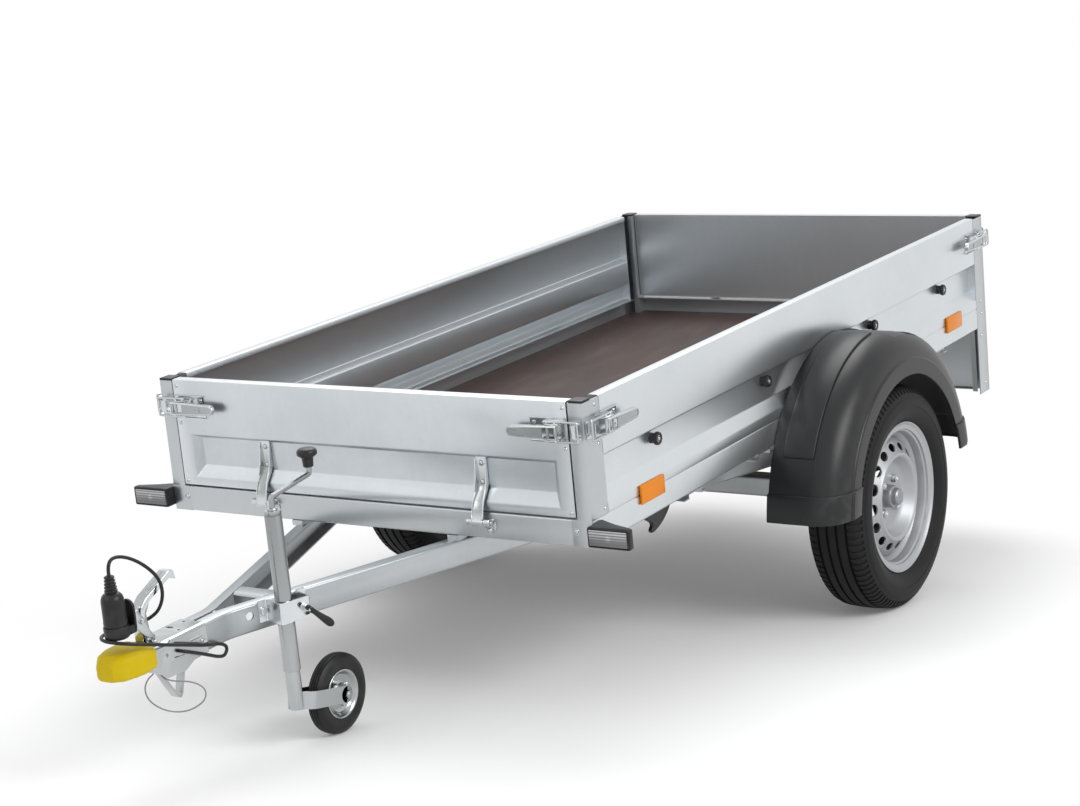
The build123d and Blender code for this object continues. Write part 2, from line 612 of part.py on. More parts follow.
def cord_tube(route, diameter):
    """Round tube along straight runs joined by tangent arcs."""
    places = [Vector(*point) for point in route]
    runs = [(b - a).length for a, b in zip(places, places[1:])]
    radii = []
    for place, before, after, run_in, run_out in zip(places[1:], places, places[2:], runs, runs[1:]):
        turn = (place - before).get_angle(after - place)
        radii.append(0.45 * min(run_in, run_out) / tan(radians(turn / 2)))
    with BuildPart() as tube:
        with BuildLine() as path:
            FilletPolyline(*places, radius=radii)
        with BuildSketch(Plane(origin=places[0], z_dir=places[1] - places[0])):
            Circle(diameter / 2)
        sweep()
    length = path.wires()[0].length
    share = tube.part.volume / (pi * diameter ** 2 / 4 * length)
    print(f"cord: length {length:.0f}, volume share {share:.3f}, radii", [round(radius, 1) for radius in radii])
    return tube.part


keep("plug_cable", cord_tube(CABLE_ROUTE, CABLE_D))
keep("safety_wire", cord_tube(SAFETY_ROUTE, SAFETY_D))

# ---------------------------------------------------------------- axle
beam_y = AXLE_Y - SWING_Y
beam_z = AXLE_Z + SWING_Z
BRACKET_X = HALF_W - 62.5
BEAM_HALF = HALF_W - 42.5
BRACKET_T = 5.0
BRACKET_FOOT = 68.0
with BuildPart() as axle_beam:
    with BuildSketch(Plane.YZ.offset(-BEAM_HALF)):
        with Locations((beam_y, beam_z)):
            RectangleRounded(BEAM, BEAM, 8)
            RectangleRounded(BEAM - 2 * BEAM_T, BEAM - 2 * BEAM_T, 4, mode=Mode.SUBTRACT)
    extrude(amount=2 * BEAM_HALF)
keep("axle_beam", axle_beam)

bracket_foot = beam_z + BEAM / 2
with BuildPart() as axle_bracket:
    for plate_x in (BRACKET_X - 18, BRACKET_X + 18 - BRACKET_T):
        with BuildSketch(Plane.YZ.offset(plate_x)):
            with BuildLine():
                Polyline((beam_y - BRACKET_L / 2, 0), (beam_y + BRACKET_L / 2, 0),
                         (beam_y + BRACKET_FOOT / 2, bracket_foot), (beam_y - BRACKET_FOOT / 2, bracket_foot),
                         close=True)
            make_face()
        extrude(amount=BRACKET_T)
    with Locations((BRACKET_X, beam_y, bracket_foot + BRACKET_T / 2)):
        Box(36, BRACKET_FOOT, BRACKET_T)
    with Locations((BRACKET_X + 14, beam_y, -BRACKET_T / 2)):
        Box(64, BRACKET_L, BRACKET_T)
keep("axle_brackets", *both_sides(axle_bracket.part))

ARM_X0 = BEAM_HALF
ARM_THICK = 26.0
HUB_FACE_X = RIM_FACE_X - 42.5
HUB_R = 60.0
with BuildPart() as swing_arm:
    with BuildSketch(Plane.YZ.offset(ARM_X0)):
        with BuildLine():
            beam_end = Vector(beam_y, beam_z)
            wheel_end = Vector(AXLE_Y, AXLE_Z)
            along = (wheel_end - beam_end).normalized()
            out = Vector(-along.Y, along.X)
            a, b = beam_end + out * 30, beam_end - out * 30
            c, d = wheel_end - out * 22, wheel_end + out * 22
            Line(a, d)
            ThreePointArc(d, wheel_end + along * 22, c)
            Line(c, b)
            ThreePointArc(b, beam_end - along * 30, a)
        make_face()
    extrude(amount=ARM_THICK)
    with BuildSketch(Plane.YZ.offset(ARM_X0 + ARM_THICK)):
        with Locations((AXLE_Y, AXLE_Z)):
            Circle(18)
    extrude(amount=HUB_FACE_X + 20 - ARM_X0 - ARM_THICK)
    with BuildSketch(Plane.YZ.offset(ARM_X0 + ARM_THICK)):
        with Locations((AXLE_Y, AXLE_Z)):
            Circle(30)
    extrude(amount=14)
keep("swing_arms", *both_sides(swing_arm.part))

# ---------------------------------------------------------------- road wheels
wheel_axis = Axis((0, AXLE_Y, AXLE_Z), (1, 0, 0))
tyre_mid = RIM_FACE_X - RIM_WIDTH / 2
half_tyre = TYRE_W / 2
TYRE_LINE = [  # distance from the tyre's middle, distance from the axis
    (-53, BEAD_R), (-57.5, 184), (-70, 196), (-half_tyre, 218), (-half_tyre + 3, 236), (-64, 262), (-55, 270),
    (0, TYRE_R), (55, 270), (64, 262), (half_tyre - 3, 236), (half_tyre, 218), (70, 196), (57.5, 184),
    (53, BEAD_R),
    (44, BEAD_R), (54, 200), (62, 228), (50, 250), (0, 258), (-50, 250), (-62, 228), (-54, 200), (-44, BEAD_R)]
with BuildPart() as tyre:
    with BuildSketch(Plane.XY.offset(AXLE_Z)):
        with BuildLine():
            Polyline(*[(tyre_mid + x, AXLE_Y + r) for x, r in TYRE_LINE], close=True)
        make_face()
    revolve(axis=wheel_axis)
left_tyre, right_tyre = both_sides(tyre.part)
keep("tyre_left", left_tyre)
keep("tyre_right", right_tyre)

RIM_T = 4.0
rim_in = tyre_mid - RIM_WIDTH / 2
rim_out = tyre_mid + RIM_WIDTH / 2
DISC_X = HUB_FACE_X
RIM_LINE = [  # distance from the middle of the trailer, distance from the axis: well, bead seats and flanges
    (rim_in, RIM_R), (rim_in, BEAD_R - RIM_T), (rim_in + 28, BEAD_R - RIM_T - 2), (rim_in + 40, 146),
    (rim_out - 45, 146),
    (rim_out - 30, BEAD_R - RIM_T - 2), (rim_out - 3, BEAD_R - RIM_T), (rim_out, RIM_R), (rim_out - 4, RIM_R),
    (rim_out - 8, BEAD_R - 0.5), (rim_out - 32, BEAD_R - 2), (rim_out - 47, 150), (rim_in + 42, 150),
    (rim_in + 30, BEAD_R - 2), (rim_in + 6, BEAD_R - 0.5), (rim_in + 4, RIM_R)]
DISC_LINE = [  # outer face of the disc from the bore outwards: hub seat, dish, ring, vent band, edge
    (0, HUB_BORE_R), (0, 72), (8, 84), (30, 96), (34, 102), (30, 108), (14, 134), (-4, 147.5)]
with BuildPart() as rim:
    with BuildSketch(Plane.XY.offset(AXLE_Z)):
        with BuildLine():
            Polyline(*[(x, AXLE_Y + r) for x, r in RIM_LINE], close=True)
        make_face()
        with BuildLine():
            outer = [(DISC_X + x, AXLE_Y + r) for x, r in DISC_LINE]
            back = [(x - RIM_T, y) for x, y in reversed(outer)]
            Polyline(*outer, *back, close=True)
        make_face()
    revolve(axis=wheel_axis)
    with BuildSketch(Plane(origin=(DISC_X - 40, AXLE_Y, AXLE_Z), x_dir=(0, 1, 0), z_dir=(1, 0, 0))):
        with PolarLocations(VENT_R, VENTS):
            SlotOverall(*VENT, rotation=90)
        with PolarLocations(BOLT_CIRCLE / 2, 4, 45):
            Circle(6.5)
    extrude(amount=100, mode=Mode.SUBTRACT)
left_rim, right_rim = both_sides(rim.part)
keep("rim_left", left_rim)
keep("rim_right", right_rim)

with BuildPart() as hub:
    with BuildSketch(Plane.YZ.offset(DISC_X - RIM_T - 12)):
        with Locations((AXLE_Y, AXLE_Z)):
            Circle(HUB_R)
    extrude(amount=12)
    with BuildSketch(Plane.YZ.offset(DISC_X - RIM_T - 50)):
        with Locations((AXLE_Y, AXLE_Z)):
            Circle(38)
    extrude(amount=50)
    with BuildSketch(Plane.YZ.offset(DISC_X - RIM_T)):
        with Locations((AXLE_Y, AXLE_Z)):
            Circle(HUB_BORE_R - 0.3)
    extrude(amount=40, taper=8)
    with BuildSketch(Plane.YZ.offset(DISC_X - RIM_T - 50)):
        with Locations((AXLE_Y, AXLE_Z)):
            Circle(18.05)
    extrude(amount=50 + 26, mode=Mode.SUBTRACT)
left_hub, right_hub = both_sides(hub.part)
keep("hub_left", left_hub)
keep("hub_right", right_hub)

# ---------------------------------------------------------------- mudguards
GUARD_R = 403.0
GUARD_T = 4.0
GUARD_END_Z = -165.0
GUARD_OUT_X = HALF_W + 183.5
guard_in = HALF_W
CROWN_RISE = 2.0         # the crown climbs this much on its way outwards
GUARD_LINE = [  # outer face: inner flange, flat crown, rounded shoulder, flank and the lip round the arch
    (guard_in, GUARD_R - 46), (guard_in, GUARD_R), (GUARD_OUT_X - 62, GUARD_R + CROWN_RISE),
    (GUARD_OUT_X - 34, GUARD_R - 8),
    (GUARD_OUT_X - 16, GUARD_R - 28), (GUARD_OUT_X - 8, GUARD_R - 48), (GUARD_OUT_X - 4, GUARD_R - 63),
    (GUARD_OUT_X, GUARD_R - 66), (GUARD_OUT_X, GUARD_R - 103)]
BAND = (36.0, 108.0)     # a raised band climbs the front and the rear slope, from and to beside the body
BAND_RISE = 2.5
BAND_FOOT = 60.0         # degrees from the top of the wheel
BAND_HEAD = 2.0
FOOT_TOP_Z = -104.0      # both feet are thicker below this
FOOT_RISE = 2.5
turn_over = Axis((0, AXLE_Y, AXLE_Z), (-1, 0, 0))


def half_hoop(section):
    """A section in front of the wheel centre, carried over the wheel to the same height behind it."""
    with BuildPart() as hoop:
        with BuildSketch(Plane.XY.offset(AXLE_Z)):
            add(section)
        revolve(axis=turn_over, revolution_arc=180)
    return hoop.part


guard_outline = [(x, AXLE_Y - r) for x, r in GUARD_LINE]
with BuildPart() as feet:
    add(half_hoop(folded(guard_outline[1:], FOOT_RISE, Side.RIGHT)))
    with Locations((GUARD_OUT_X, AXLE_Y, GUARD_END_Z)):
        Box(GUARD_OUT_X, 3 * GUARD_R, FOOT_TOP_Z - GUARD_END_Z, align=(Align.CENTER, Align.CENTER, Align.MIN),
            mode=Mode.INTERSECT)
with BuildPart() as band:
    with BuildSketch(Plane.XY.offset(AXLE_Z)):
        with BuildLine():
            crown_y = AXLE_Y - GUARD_R - CROWN_RISE
            Polyline((HALF_W + BAND[0], crown_y + GUARD_T), (HALF_W + BAND[0], crown_y),
                     (HALF_W + BAND[0] + BAND_RISE, crown_y - BAND_RISE),
                     (HALF_W + BAND[1] - BAND_RISE, crown_y - BAND_RISE), (HALF_W + BAND[1], crown_y),
                     (HALF_W + BAND[1], crown_y + GUARD_T), close=True)
        make_face()
    revolve(axis=turn_over, revolution_arc=BAND_FOOT - BAND_HEAD)
front_band = band.part.rotate(turn_over, 90 - BAND_FOOT)
rear_band = band.part.rotate(turn_over, 90 + BAND_HEAD)
with BuildPart() as guard:
    add(half_hoop(folded(guard_outline, GUARD_T, Side.LEFT)))
    with Locations((GUARD_OUT_X, AXLE_Y, GUARD_END_Z)):
        Box(GUARD_OUT_X, 3 * GUARD_R, GUARD_R, align=(Align.CENTER, Align.CENTER, Align.MAX),
            mode=Mode.SUBTRACT)
    for layer in (feet.part, front_band, rear_band):
        add(layer)
left_guard, right_guard = both_sides(guard.part)
keep("mudguard_left", left_guard)
keep("mudguard_right", right_guard)

# ---------------------------------------------------------------- lamps, reflectors, knobs
BOARD_T = 2.0
BOARD_Y = BODY_L - 20.0
board_z = -POST_DROP + 6
with BuildPart() as light_board:
    with BuildSketch(Plane.YZ):
        add(folded([(BOARD_Y - 22, 0), (BOARD_Y, 0), (BOARD_Y, board_z), (BOARD_Y - 18, board_z)], BOARD_T))
    extrude(amount=POST_IN_X, both=True)
keep("light_board", light_board)

LAMP = (150.0, 45.0, 104.0)
with BuildPart() as rear_lamp:
    with Locations((POST_IN_X - 14 - LAMP[0] / 2, BOARD_Y + LAMP[1] / 2, board_z / 2)):
        Box(*LAMP)
    fillet(rear_lamp.edges().filter_by(Axis.Y), 14)
keep("rear_lamps", *both_sides(rear_lamp.part))

MARKER = (98.0, 38.0)
MARKER_Z = 32.0
with BuildPart() as marker:
    with BuildSketch(Plane.XY.offset(MARKER_Z - MARKER[1] / 2 - 3)):
        with BuildLine():
            Polyline((HALF_W, -22), (HALF_W + MARKER[0] + 2, -22), (HALF_W + MARKER[0] + 2, -8), (HALF_W + 40, 14),
                     (HALF_W, 36), close=True)
        make_face()
    extrude(amount=MARKER[1] + 6)
keep("marker_housings", *both_sides(marker.part))
with BuildPart() as marker_lens:
    with Locations((HALF_W + 3 + MARKER[0] / 2 - 1, -22 - 4, MARKER_Z)):
        Box(MARKER[0] - 4, 8, MARKER[1])
keep("marker_lenses", *both_sides(marker_lens.part))

REFLECTOR = (7.0, 98.0, 42.0)
REFLECTOR_Y = (240.0, BODY_L - 233.0)
REFLECTOR_Z = 58.0
reflectors = []
for reflector_y in REFLECTOR_Y:
    with BuildPart() as reflector:
        with Locations((HALF_W + REFLECTOR[0] / 2, reflector_y, REFLECTOR_Z)):
            Box(*REFLECTOR)
    reflectors += both_sides(reflector.part)
keep("side_reflectors", *reflectors)

KNOB_Y = (294.0, 807.0, BODY_L - 707.0, BODY_L - 274.0)
KNOB_Z = 154.0
knobs = []
for knob_y in KNOB_Y:
    with BuildPart() as knob:
        with BuildSketch(Plane.YZ.offset(HALF_W - RIB_DEPTH)):
            with Locations((knob_y, KNOB_Z)):
                Circle(8)
        extrude(amount=14)
        with BuildSketch(Plane.YZ.offset(HALF_W - RIB_DEPTH + 14)):
            with Locations((knob_y, KNOB_Z)):
                Circle(13)
        extrude(amount=8)
    knobs += both_sides(knob.part)
keep("rope_knobs", *knobs)

# ---------------------------------------------------------------- jockey wheel
TUBE_FIT = 0.3
SLEEVE_BORE_R = 15.5
CLAMP_H = 44.0
CLAMP_Z = -32.0
CLAMP_T = 4.0
CLAMP_Y = -448.0         # where its front wall meets the arm
CLAMP_FOOT = 19.0        # bolted flange before and behind the clamp
CLAMP_RUN = 72.0         # over its two walls
SADDLE_HALF = 17.0
SPINDLE_AT = 58.0        # clamp lever's spindle behind the front wall
clamp_corner = (arm_x(CLAMP_Y), CLAMP_Y, CLAMP_Z - CLAMP_H / 2)
clamp_frame = Plane(origin=clamp_corner, x_dir=(ARM_SPREAD, 1, 0), z_dir=(0, 0, 1))
tube_at = clamp_frame.to_local_coords(Vector(JOCKEY_X, JOCKEY_Y, CLAMP_Z))
clamp_face = tube_at.Y - JOCKEY_TUBE_R - TUBE_FIT

with BuildPart() as clamp:
    with BuildSketch(clamp_frame):
        add(folded([(-CLAMP_FOOT, 0), (CLAMP_T, 0), (CLAMP_T, clamp_face), (CLAMP_RUN - CLAMP_T, clamp_face),
                    (CLAMP_RUN - CLAMP_T, 0), (CLAMP_RUN + CLAMP_FOOT, 0)], CLAMP_T, Side.RIGHT))
    extrude(amount=CLAMP_H)
keep("jockey_clamp", clamp)
with BuildPart() as saddle:
    with BuildSketch(clamp_frame.offset(4)):
        with Locations((tube_at.X, tube_at.Y / 2)):
            Rectangle(2 * SADDLE_HALF, -tube_at.Y)
        with Locations((tube_at.X, tube_at.Y)):
            Circle(JOCKEY_TUBE_R + TUBE_FIT, mode=Mode.SUBTRACT)
    extrude(amount=CLAMP_H - 8)
keep("clamp_saddle", saddle)

with BuildPart() as clamp_lever:
    spindle = clamp_frame.from_local_coords(Vector(SPINDLE_AT, clamp_face - CLAMP_T, CLAMP_H / 2))
    outwards = clamp_frame.y_dir * -1
    with BuildSketch(Plane(origin=spindle, z_dir=outwards)):
        Circle(5)
    extrude(amount=16)
    with BuildSketch(Plane(origin=spindle + outwards * 14 + Vector(0, -2, 3), z_dir=(0.35, 0.62, -0.70))):
        SlotOverall(22, 14)
    extrude(amount=66, taper=3)
keep("clamp_lever", clamp_lever)

with BuildPart() as outer_tube:
    with BuildSketch(Plane.XY.offset(JOCKEY_SLEEVE_Z)):
        with Locations((JOCKEY_X, JOCKEY_Y)):
            Circle(JOCKEY_TUBE_R)
            Circle(SLEEVE_BORE_R, mode=Mode.SUBTRACT)
    extrude(amount=JOCKEY_TOP_Z - JOCKEY_SLEEVE_Z)
    with BuildSketch(Plane.XY.offset(JOCKEY_TOP_Z)):
        with Locations((JOCKEY_X, JOCKEY_Y)):
            Circle(JOCKEY_TUBE_R)
    extrude(amount=4)
keep("jockey_tube", outer_tube)

CRANK_R = 6.0
KNOB_AT = (JOCKEY_X, -312.0)
crank_top = JOCKEY_TOP_Z + 4
with BuildPart() as crank:
    with BuildLine():
        FilletPolyline((JOCKEY_X, JOCKEY_Y, crank_top), (JOCKEY_X, JOCKEY_Y, crank_top + 26),
                       (JOCKEY_X, KNOB_AT[1], crank_top + 40), (JOCKEY_X, KNOB_AT[1], crank_top + 54),
                        radius=[12, 8])
    with BuildSketch(Plane.XY.offset(crank_top)):
        with Locations((JOCKEY_X, JOCKEY_Y)):
            Circle(CRANK_R)
    sweep()
keep("jockey_crank", crank)
with BuildPart() as grip:
    with BuildSketch(Plane.XZ.offset(-KNOB_AT[1])):
        grip_z = crank_top + 54
        with BuildLine():
            Polyline((JOCKEY_X, grip_z), (JOCKEY_X + 11, grip_z), (JOCKEY_X + 12, grip_z + 20),
                     (JOCKEY_X + 21, grip_z + 24),
                     (JOCKEY_X + 21, grip_z + 32), (JOCKEY_X + 14, grip_z + 38), (JOCKEY_X, grip_z + 40), close=True)
        make_face()
    revolve(axis=Axis((JOCKEY_X, KNOB_AT[1], 0), (0, 0, 1)))
keep("crank_knob", grip)

FORK_T = 4.0
FORK_H = 36.0
fork_in = JOCKEY_TYRE_W / 2 + 5
axle_y = JOCKEY_Y + JOCKEY_TRAIL
INNER_R = SLEEVE_BORE_R - 0.3
with BuildPart() as fork:
    with BuildSketch(Plane.XY.offset(JOCKEY_AXLE_Z - FORK_H)):
        for side in (1, -1):
            points = [(JOCKEY_X + side * 9, JOCKEY_Y - 3), (JOCKEY_X + side * 11, JOCKEY_Y + 12),
                      (JOCKEY_X + side * fork_in, JOCKEY_Y + 36), (JOCKEY_X + side * fork_in, axle_y + FORK_H)]
            add(folded(points, FORK_T, Side.RIGHT if side > 0 else Side.LEFT))
    extrude(amount=3 * FORK_H)
    with BuildSketch(Plane.YZ.offset(JOCKEY_X - 2 * fork_in)) as band:
        with BuildLine():
            root = Vector(JOCKEY_Y - 6, JOCKEY_FOOT_Z)
            tip = Vector(axle_y, JOCKEY_AXLE_Z)
            run = (tip - root).normalized()
            rise = Vector(-run.Y, run.X) * (FORK_H / 2)
            Line(root + rise, tip + rise)
            ThreePointArc(tip + rise, tip + run * (FORK_H / 2), tip - rise)
            Line(tip - rise, root - rise)
            Line(root - rise, root + rise)
        make_face()
    extrude(amount=4 * fork_in, mode=Mode.INTERSECT)
    with BuildSketch(Plane.XY.offset(JOCKEY_FOOT_Z - FORK_H / 2)):
        with Locations((JOCKEY_X, JOCKEY_Y)):
            Circle(INNER_R)
    extrude(amount=JOCKEY_SLEEVE_Z + 90 - JOCKEY_FOOT_Z + FORK_H / 2)
    with BuildSketch(Plane.YZ.offset(JOCKEY_X - fork_in - 10)):
        with Locations((axle_y, JOCKEY_AXLE_Z)):
            Circle(6)
    extrude(amount=2 * fork_in + 20)
keep("jockey_fork", fork)

jockey_axis = Axis((0, axle_y, JOCKEY_AXLE_Z), (1, 0, 0))
jockey_half = JOCKEY_TYRE_W / 2
with BuildPart() as jockey_tyre:
    with BuildSketch(Plane.XY.offset(JOCKEY_AXLE_Z)):
        with BuildLine():
            Polyline(*[(JOCKEY_X + x, axle_y + r) for x, r in (
                (-15, JOCKEY_RIM_R + 0.4), (-jockey_half, 62), (-jockey_half, 72), (-13, 82), (0, JOCKEY_R), (13, 82),
                (jockey_half, 72), (jockey_half, 62), (15, JOCKEY_RIM_R + 0.4))], close=True)
        make_face()
    revolve(axis=jockey_axis)
keep("jockey_tyre", jockey_tyre)
with BuildPart() as jockey_rim:
    with BuildSketch(Plane.XY.offset(JOCKEY_AXLE_Z)):
        with BuildLine():
            Polyline(*[(JOCKEY_X + x, axle_y + r) for x, r in (
                (-20, 6.05), (-20, 16), (-6, 20), (-4, 40), (-16, 46), (-16, JOCKEY_RIM_R), (16, JOCKEY_RIM_R), (16, 46),
                (4, 40), (6, 20), (20, 16), (20, 6.05))], close=True)
        make_face()
    revolve(axis=jockey_axis)
keep("jockey_rim", jockey_rim)

# ---------------------------------------------------------------- parked on the ground
reach = AXLE_Y - axle_y
drop = AXLE_Z - JOCKEY_AXLE_Z
pitch = asin((TYRE_R - JOCKEY_R) / hypot(reach, drop)) - atan2(drop, reach)
tilt = Location((0, 0, 0), (degrees(pitch), 0, 0))
ground_z = AXLE_Y * sin(pitch) + AXLE_Z * cos(pitch) - TYRE_R
CORDS = ("plug_cable", "safety_wire", "plug")
parked = [piece.moved(tilt) for name, piece in PIECES.items() if name not in CORDS]
body_box = Compound(children=parked).bounding_box()
mid_y = (body_box.min.Y + body_box.max.Y) / 2
parked = Location((0, -mid_y, -ground_z)) * tilt
print(f"pitch {degrees(pitch):.4f} shift y {-mid_y:.3f} z {-ground_z:.3f} lowest {body_box.min.Z - ground_z:.3f}")

os.makedirs("parts", exist_ok=True)
for name, piece in PIECES.items():
    placed = piece.moved(parked)
    placed.label = name
    export_step(placed, f"parts/{name}.step")
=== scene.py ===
# %% [markdown]
# # A small galvanised box trailer
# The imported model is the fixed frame: every body, hinge and wheel is where it has to be.  This lesson dresses
# it: each piece that shows is modelled again with its folds, ribs and rounded edges, and gets a finish made
# from nodes.  Everything is in metres.

# %% Load the frame
import json
import math

import bpy
from mathutils import Matrix, Vector


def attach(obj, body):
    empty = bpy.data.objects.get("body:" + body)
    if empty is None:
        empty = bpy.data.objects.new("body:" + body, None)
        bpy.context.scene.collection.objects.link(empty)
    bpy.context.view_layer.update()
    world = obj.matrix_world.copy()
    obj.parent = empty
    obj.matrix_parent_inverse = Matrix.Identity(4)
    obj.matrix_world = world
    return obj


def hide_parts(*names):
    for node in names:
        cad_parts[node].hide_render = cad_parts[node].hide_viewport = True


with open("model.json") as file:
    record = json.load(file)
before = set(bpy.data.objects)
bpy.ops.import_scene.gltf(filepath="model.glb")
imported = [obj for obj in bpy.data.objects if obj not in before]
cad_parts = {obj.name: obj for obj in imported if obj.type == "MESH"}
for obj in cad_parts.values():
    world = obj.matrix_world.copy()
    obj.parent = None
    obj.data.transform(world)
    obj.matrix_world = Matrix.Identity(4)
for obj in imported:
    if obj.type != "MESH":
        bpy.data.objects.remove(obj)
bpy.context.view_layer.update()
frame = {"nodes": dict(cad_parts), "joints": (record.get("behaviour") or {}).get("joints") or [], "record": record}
bpy.ops.object.select_all(action="DESELECT")
nodes = frame["nodes"]
joints = {joint["name"]: joint for joint in frame["joints"]}

# %% [markdown]
# The trailer is parked on its jockey wheel with its nose a little low.  Drawing slanted pieces is awkward, so
# each one is drawn level, in the trailer's own frame: x to its left, y to the rear from the front face of the
# body, z up from the underside of the body rails.  One matrix then sets a finished piece down on its wheels.
# The slope comes from the jockey tube, and the shift from the axis of a road wheel.

# %% From the level trailer to the parked one
WHEEL_Y = 1.147
WHEEL_Z = -0.21
tube_axis = Vector(joints["jockey_slide"]["axis"])
slope = math.atan2(-tube_axis.y, tube_axis.z)
wheel_at = Vector(joints["wheel_left_spin"]["pos_m"])
PARKED = Matrix.Rotation(slope, 4, "X")
PARKED.translation = wheel_at - PARKED @ Vector((wheel_at.x, WHEEL_Y, WHEEL_Z))
print(f"parked {math.degrees(slope):.2f} degrees nose-low")

# %% [markdown]
# The trailer's main sizes, measured once here and used by every piece below.

# %% Sizes of the trailer
BODY_W = 1.125
BODY_L = 2.105
HALF_W = BODY_W / 2
RIM_Z = 0.307
RAIL_H = 0.058
WALL = 0.025
POST_FACE = 0.034
POST_SIDE = 0.064
GATE_GAP = 0.005
PANEL_Z = RAIL_H + GATE_GAP
RIB = dict(low=0.08, foot=0.107, head=0.172, top=0.182, depth=0.021)
POST_IN = HALF_W - POST_FACE
GATE_HALF = POST_IN - GATE_GAP
TYRE_R = 0.2735
RIM_FACE_X = HALF_W + 0.16
RIM_WIDTH = 0.125
LEFT = Vector((1, 0, 0))
REAR = Vector((0, 1, 0))
UP = Vector((0, 0, 1))

# %% [markdown]
# ## Camera
# The view looks at the front left corner, from a little above the rim of the body.  The lens is long, so the
# far side is barely smaller than the near one.

# %% Camera
CAMERA_AT = Vector((3.0051, -3.8099, 1.387))
AZIMUTH = math.radians(33.71)
ELEVATION = math.radians(13.34)
ROLL = math.radians(-5.5)
SENSOR = 36.0
LENS = 77.45

towards_camera = Vector((math.sin(AZIMUTH) * math.cos(ELEVATION),
                         -math.cos(AZIMUTH) * math.cos(ELEVATION), math.sin(ELEVATION)))
right = (-towards_camera).cross(UP).normalized()
above = right.cross(-towards_camera)
turned_right = right * math.cos(ROLL) + above * math.sin(ROLL)
turned_up = above * math.cos(ROLL) - right * math.sin(ROLL)
stand = Matrix((turned_right, turned_up, towards_camera)).transposed().to_4x4()
stand.translation = CAMERA_AT

bpy.ops.object.camera_add()
camera = bpy.context.object
camera.name = "camera"
camera.matrix_world = PARKED @ stand
camera.data.lens = LENS
camera.data.sensor_fit = "HORIZONTAL"
camera.data.sensor_width = SENSOR
camera.data.clip_end = 60
bpy.context.scene.camera = camera
print("camera at", [round(value, 3) for value in camera.matrix_world.translation])

# %% [markdown]
# ## Nodes
# Materials are built from nodes.  `node` adds one with its settings, and `given` fills its inputs: each is a
# number, a colour or the output of another node.

# %% Node helpers
def given(tree, one, **inputs):
    """Fill a node's inputs, called by name, or by number as in0, in1 and so on."""
    for label, value in inputs.items():
        socket = one.inputs[int(label[2:])] if label.startswith("in") else one.inputs[label.replace("_", " ")]
        if isinstance(value, bpy.types.NodeSocket):
            tree.links.new(value, socket)
        else:
            socket.default_value = value
    return one


def node(tree, kind, values=None, **inputs):
    """A shader node with its settings and its inputs."""
    one = tree.nodes.new("ShaderNode" + kind)
    for name, value in (values or {}).items():
        setattr(one, name, value)
    return given(tree, one, **inputs)


def computed(tree, operation, *terms, kind="Math"):
    """The result of one operation on some terms."""
    inputs = {f"in{number}": term for number, term in enumerate(terms)}
    return node(tree, kind, {"operation": operation}, **inputs).outputs[0]


def ranged(tree, value, low, high, to_low, to_high):
    """A value carried from one range to another."""
    return node(tree, "MapRange", None, Value=value, From_Min=low, From_Max=high, To_Min=to_low,
                To_Max=to_high).outputs["Result"]


def mixed(tree, share, first, second):
    """Two colours mixed by a share."""
    return node(tree, "Mix", {"data_type": "RGBA"}, in0=share, in6=first, in7=second).outputs[2]


def paint(name):
    """A new material: its nodes and its Principled shader."""
    material = bpy.data.materials.new(name)
    material.use_nodes = True
    return material, material.node_tree, material.node_tree.nodes["Principled BSDF"]


# %% [markdown]
# ## Studio
# The trailer stands on a pale floor in soft light from all round, with one large lamp high on the near side
# and two weaker ones.  What the camera and the shiny metal see of the surroundings is plain white, while the
# light that the surroundings give is held lower, so that pale metal keeps its own grey.  The floor keeps the
# shadow under the trailer and goes over into the same white further out, so that no horizon shows.

# %% Floor
WHITE_FROM = 0.9
WHITE_AT = 1.55
SHADOW_LIFT = 0.1
floor_look, tree, shader = paint("pale floor")
given(tree, shader, Base_Color=(0.93, 0.93, 0.93, 1), Roughness=0.9, Specular_IOR_Level=0.1)
middle = node(tree, "Mapping", None, Vector=node(tree, "TexCoord").outputs["Object"], Location=(-0.1, 0, 0),
              Scale=(1, 0.62, 1))
reach = node(tree, "VectorMath", {"operation": "LENGTH"}, in0=middle.outputs["Vector"])
fade = node(tree, "MapRange", {"interpolation_type": "SMOOTHSTEP"}, Value=reach.outputs["Value"],
            From_Min=WHITE_FROM, From_Max=WHITE_AT, To_Min=SHADOW_LIFT)
white = node(tree, "Emission", None, Strength=1.0)
floor_mix = node(tree, "MixShader", None, in0=fade.outputs["Result"], in1=shader.outputs["BSDF"],
                 in2=white.outputs["Emission"])
given(tree, tree.nodes["Material Output"], Surface=floor_mix.outputs["Shader"])
bpy.ops.mesh.primitive_plane_add(size=60)
floor = bpy.context.object
floor.name = "studio_floor"
floor.data.materials.append(floor_look)

# %% World and lamps
AMBIENT = 0.66
world = bpy.data.worlds.new("studio")
bpy.context.scene.world = world
world.use_nodes = True
tree = world.node_tree
path = node(tree, "LightPath").outputs
seen = computed(tree, "MAXIMUM", path["Is Camera Ray"], path["Is Glossy Ray"])
seen = computed(tree, "MAXIMUM", seen, path["Is Transmission Ray"])
given(tree, tree.nodes["Background"], Color=(1, 1, 1, 1), Strength=ranged(tree, seen, 0.0, 1.0, AMBIENT, 1.0))


def lamp(name, place, target, size, power):
    """A soft rectangular lamp at place, facing target."""
    bpy.ops.object.light_add(type="AREA", location=place)
    light = bpy.context.object
    light.name = name
    light.data.shape = "RECTANGLE"
    light.data.size, light.data.size_y = size
    light.data.energy = power
    light.rotation_euler = (Vector(target) - Vector(place)).to_track_quat("-Z", "Y").to_euler()
    return light


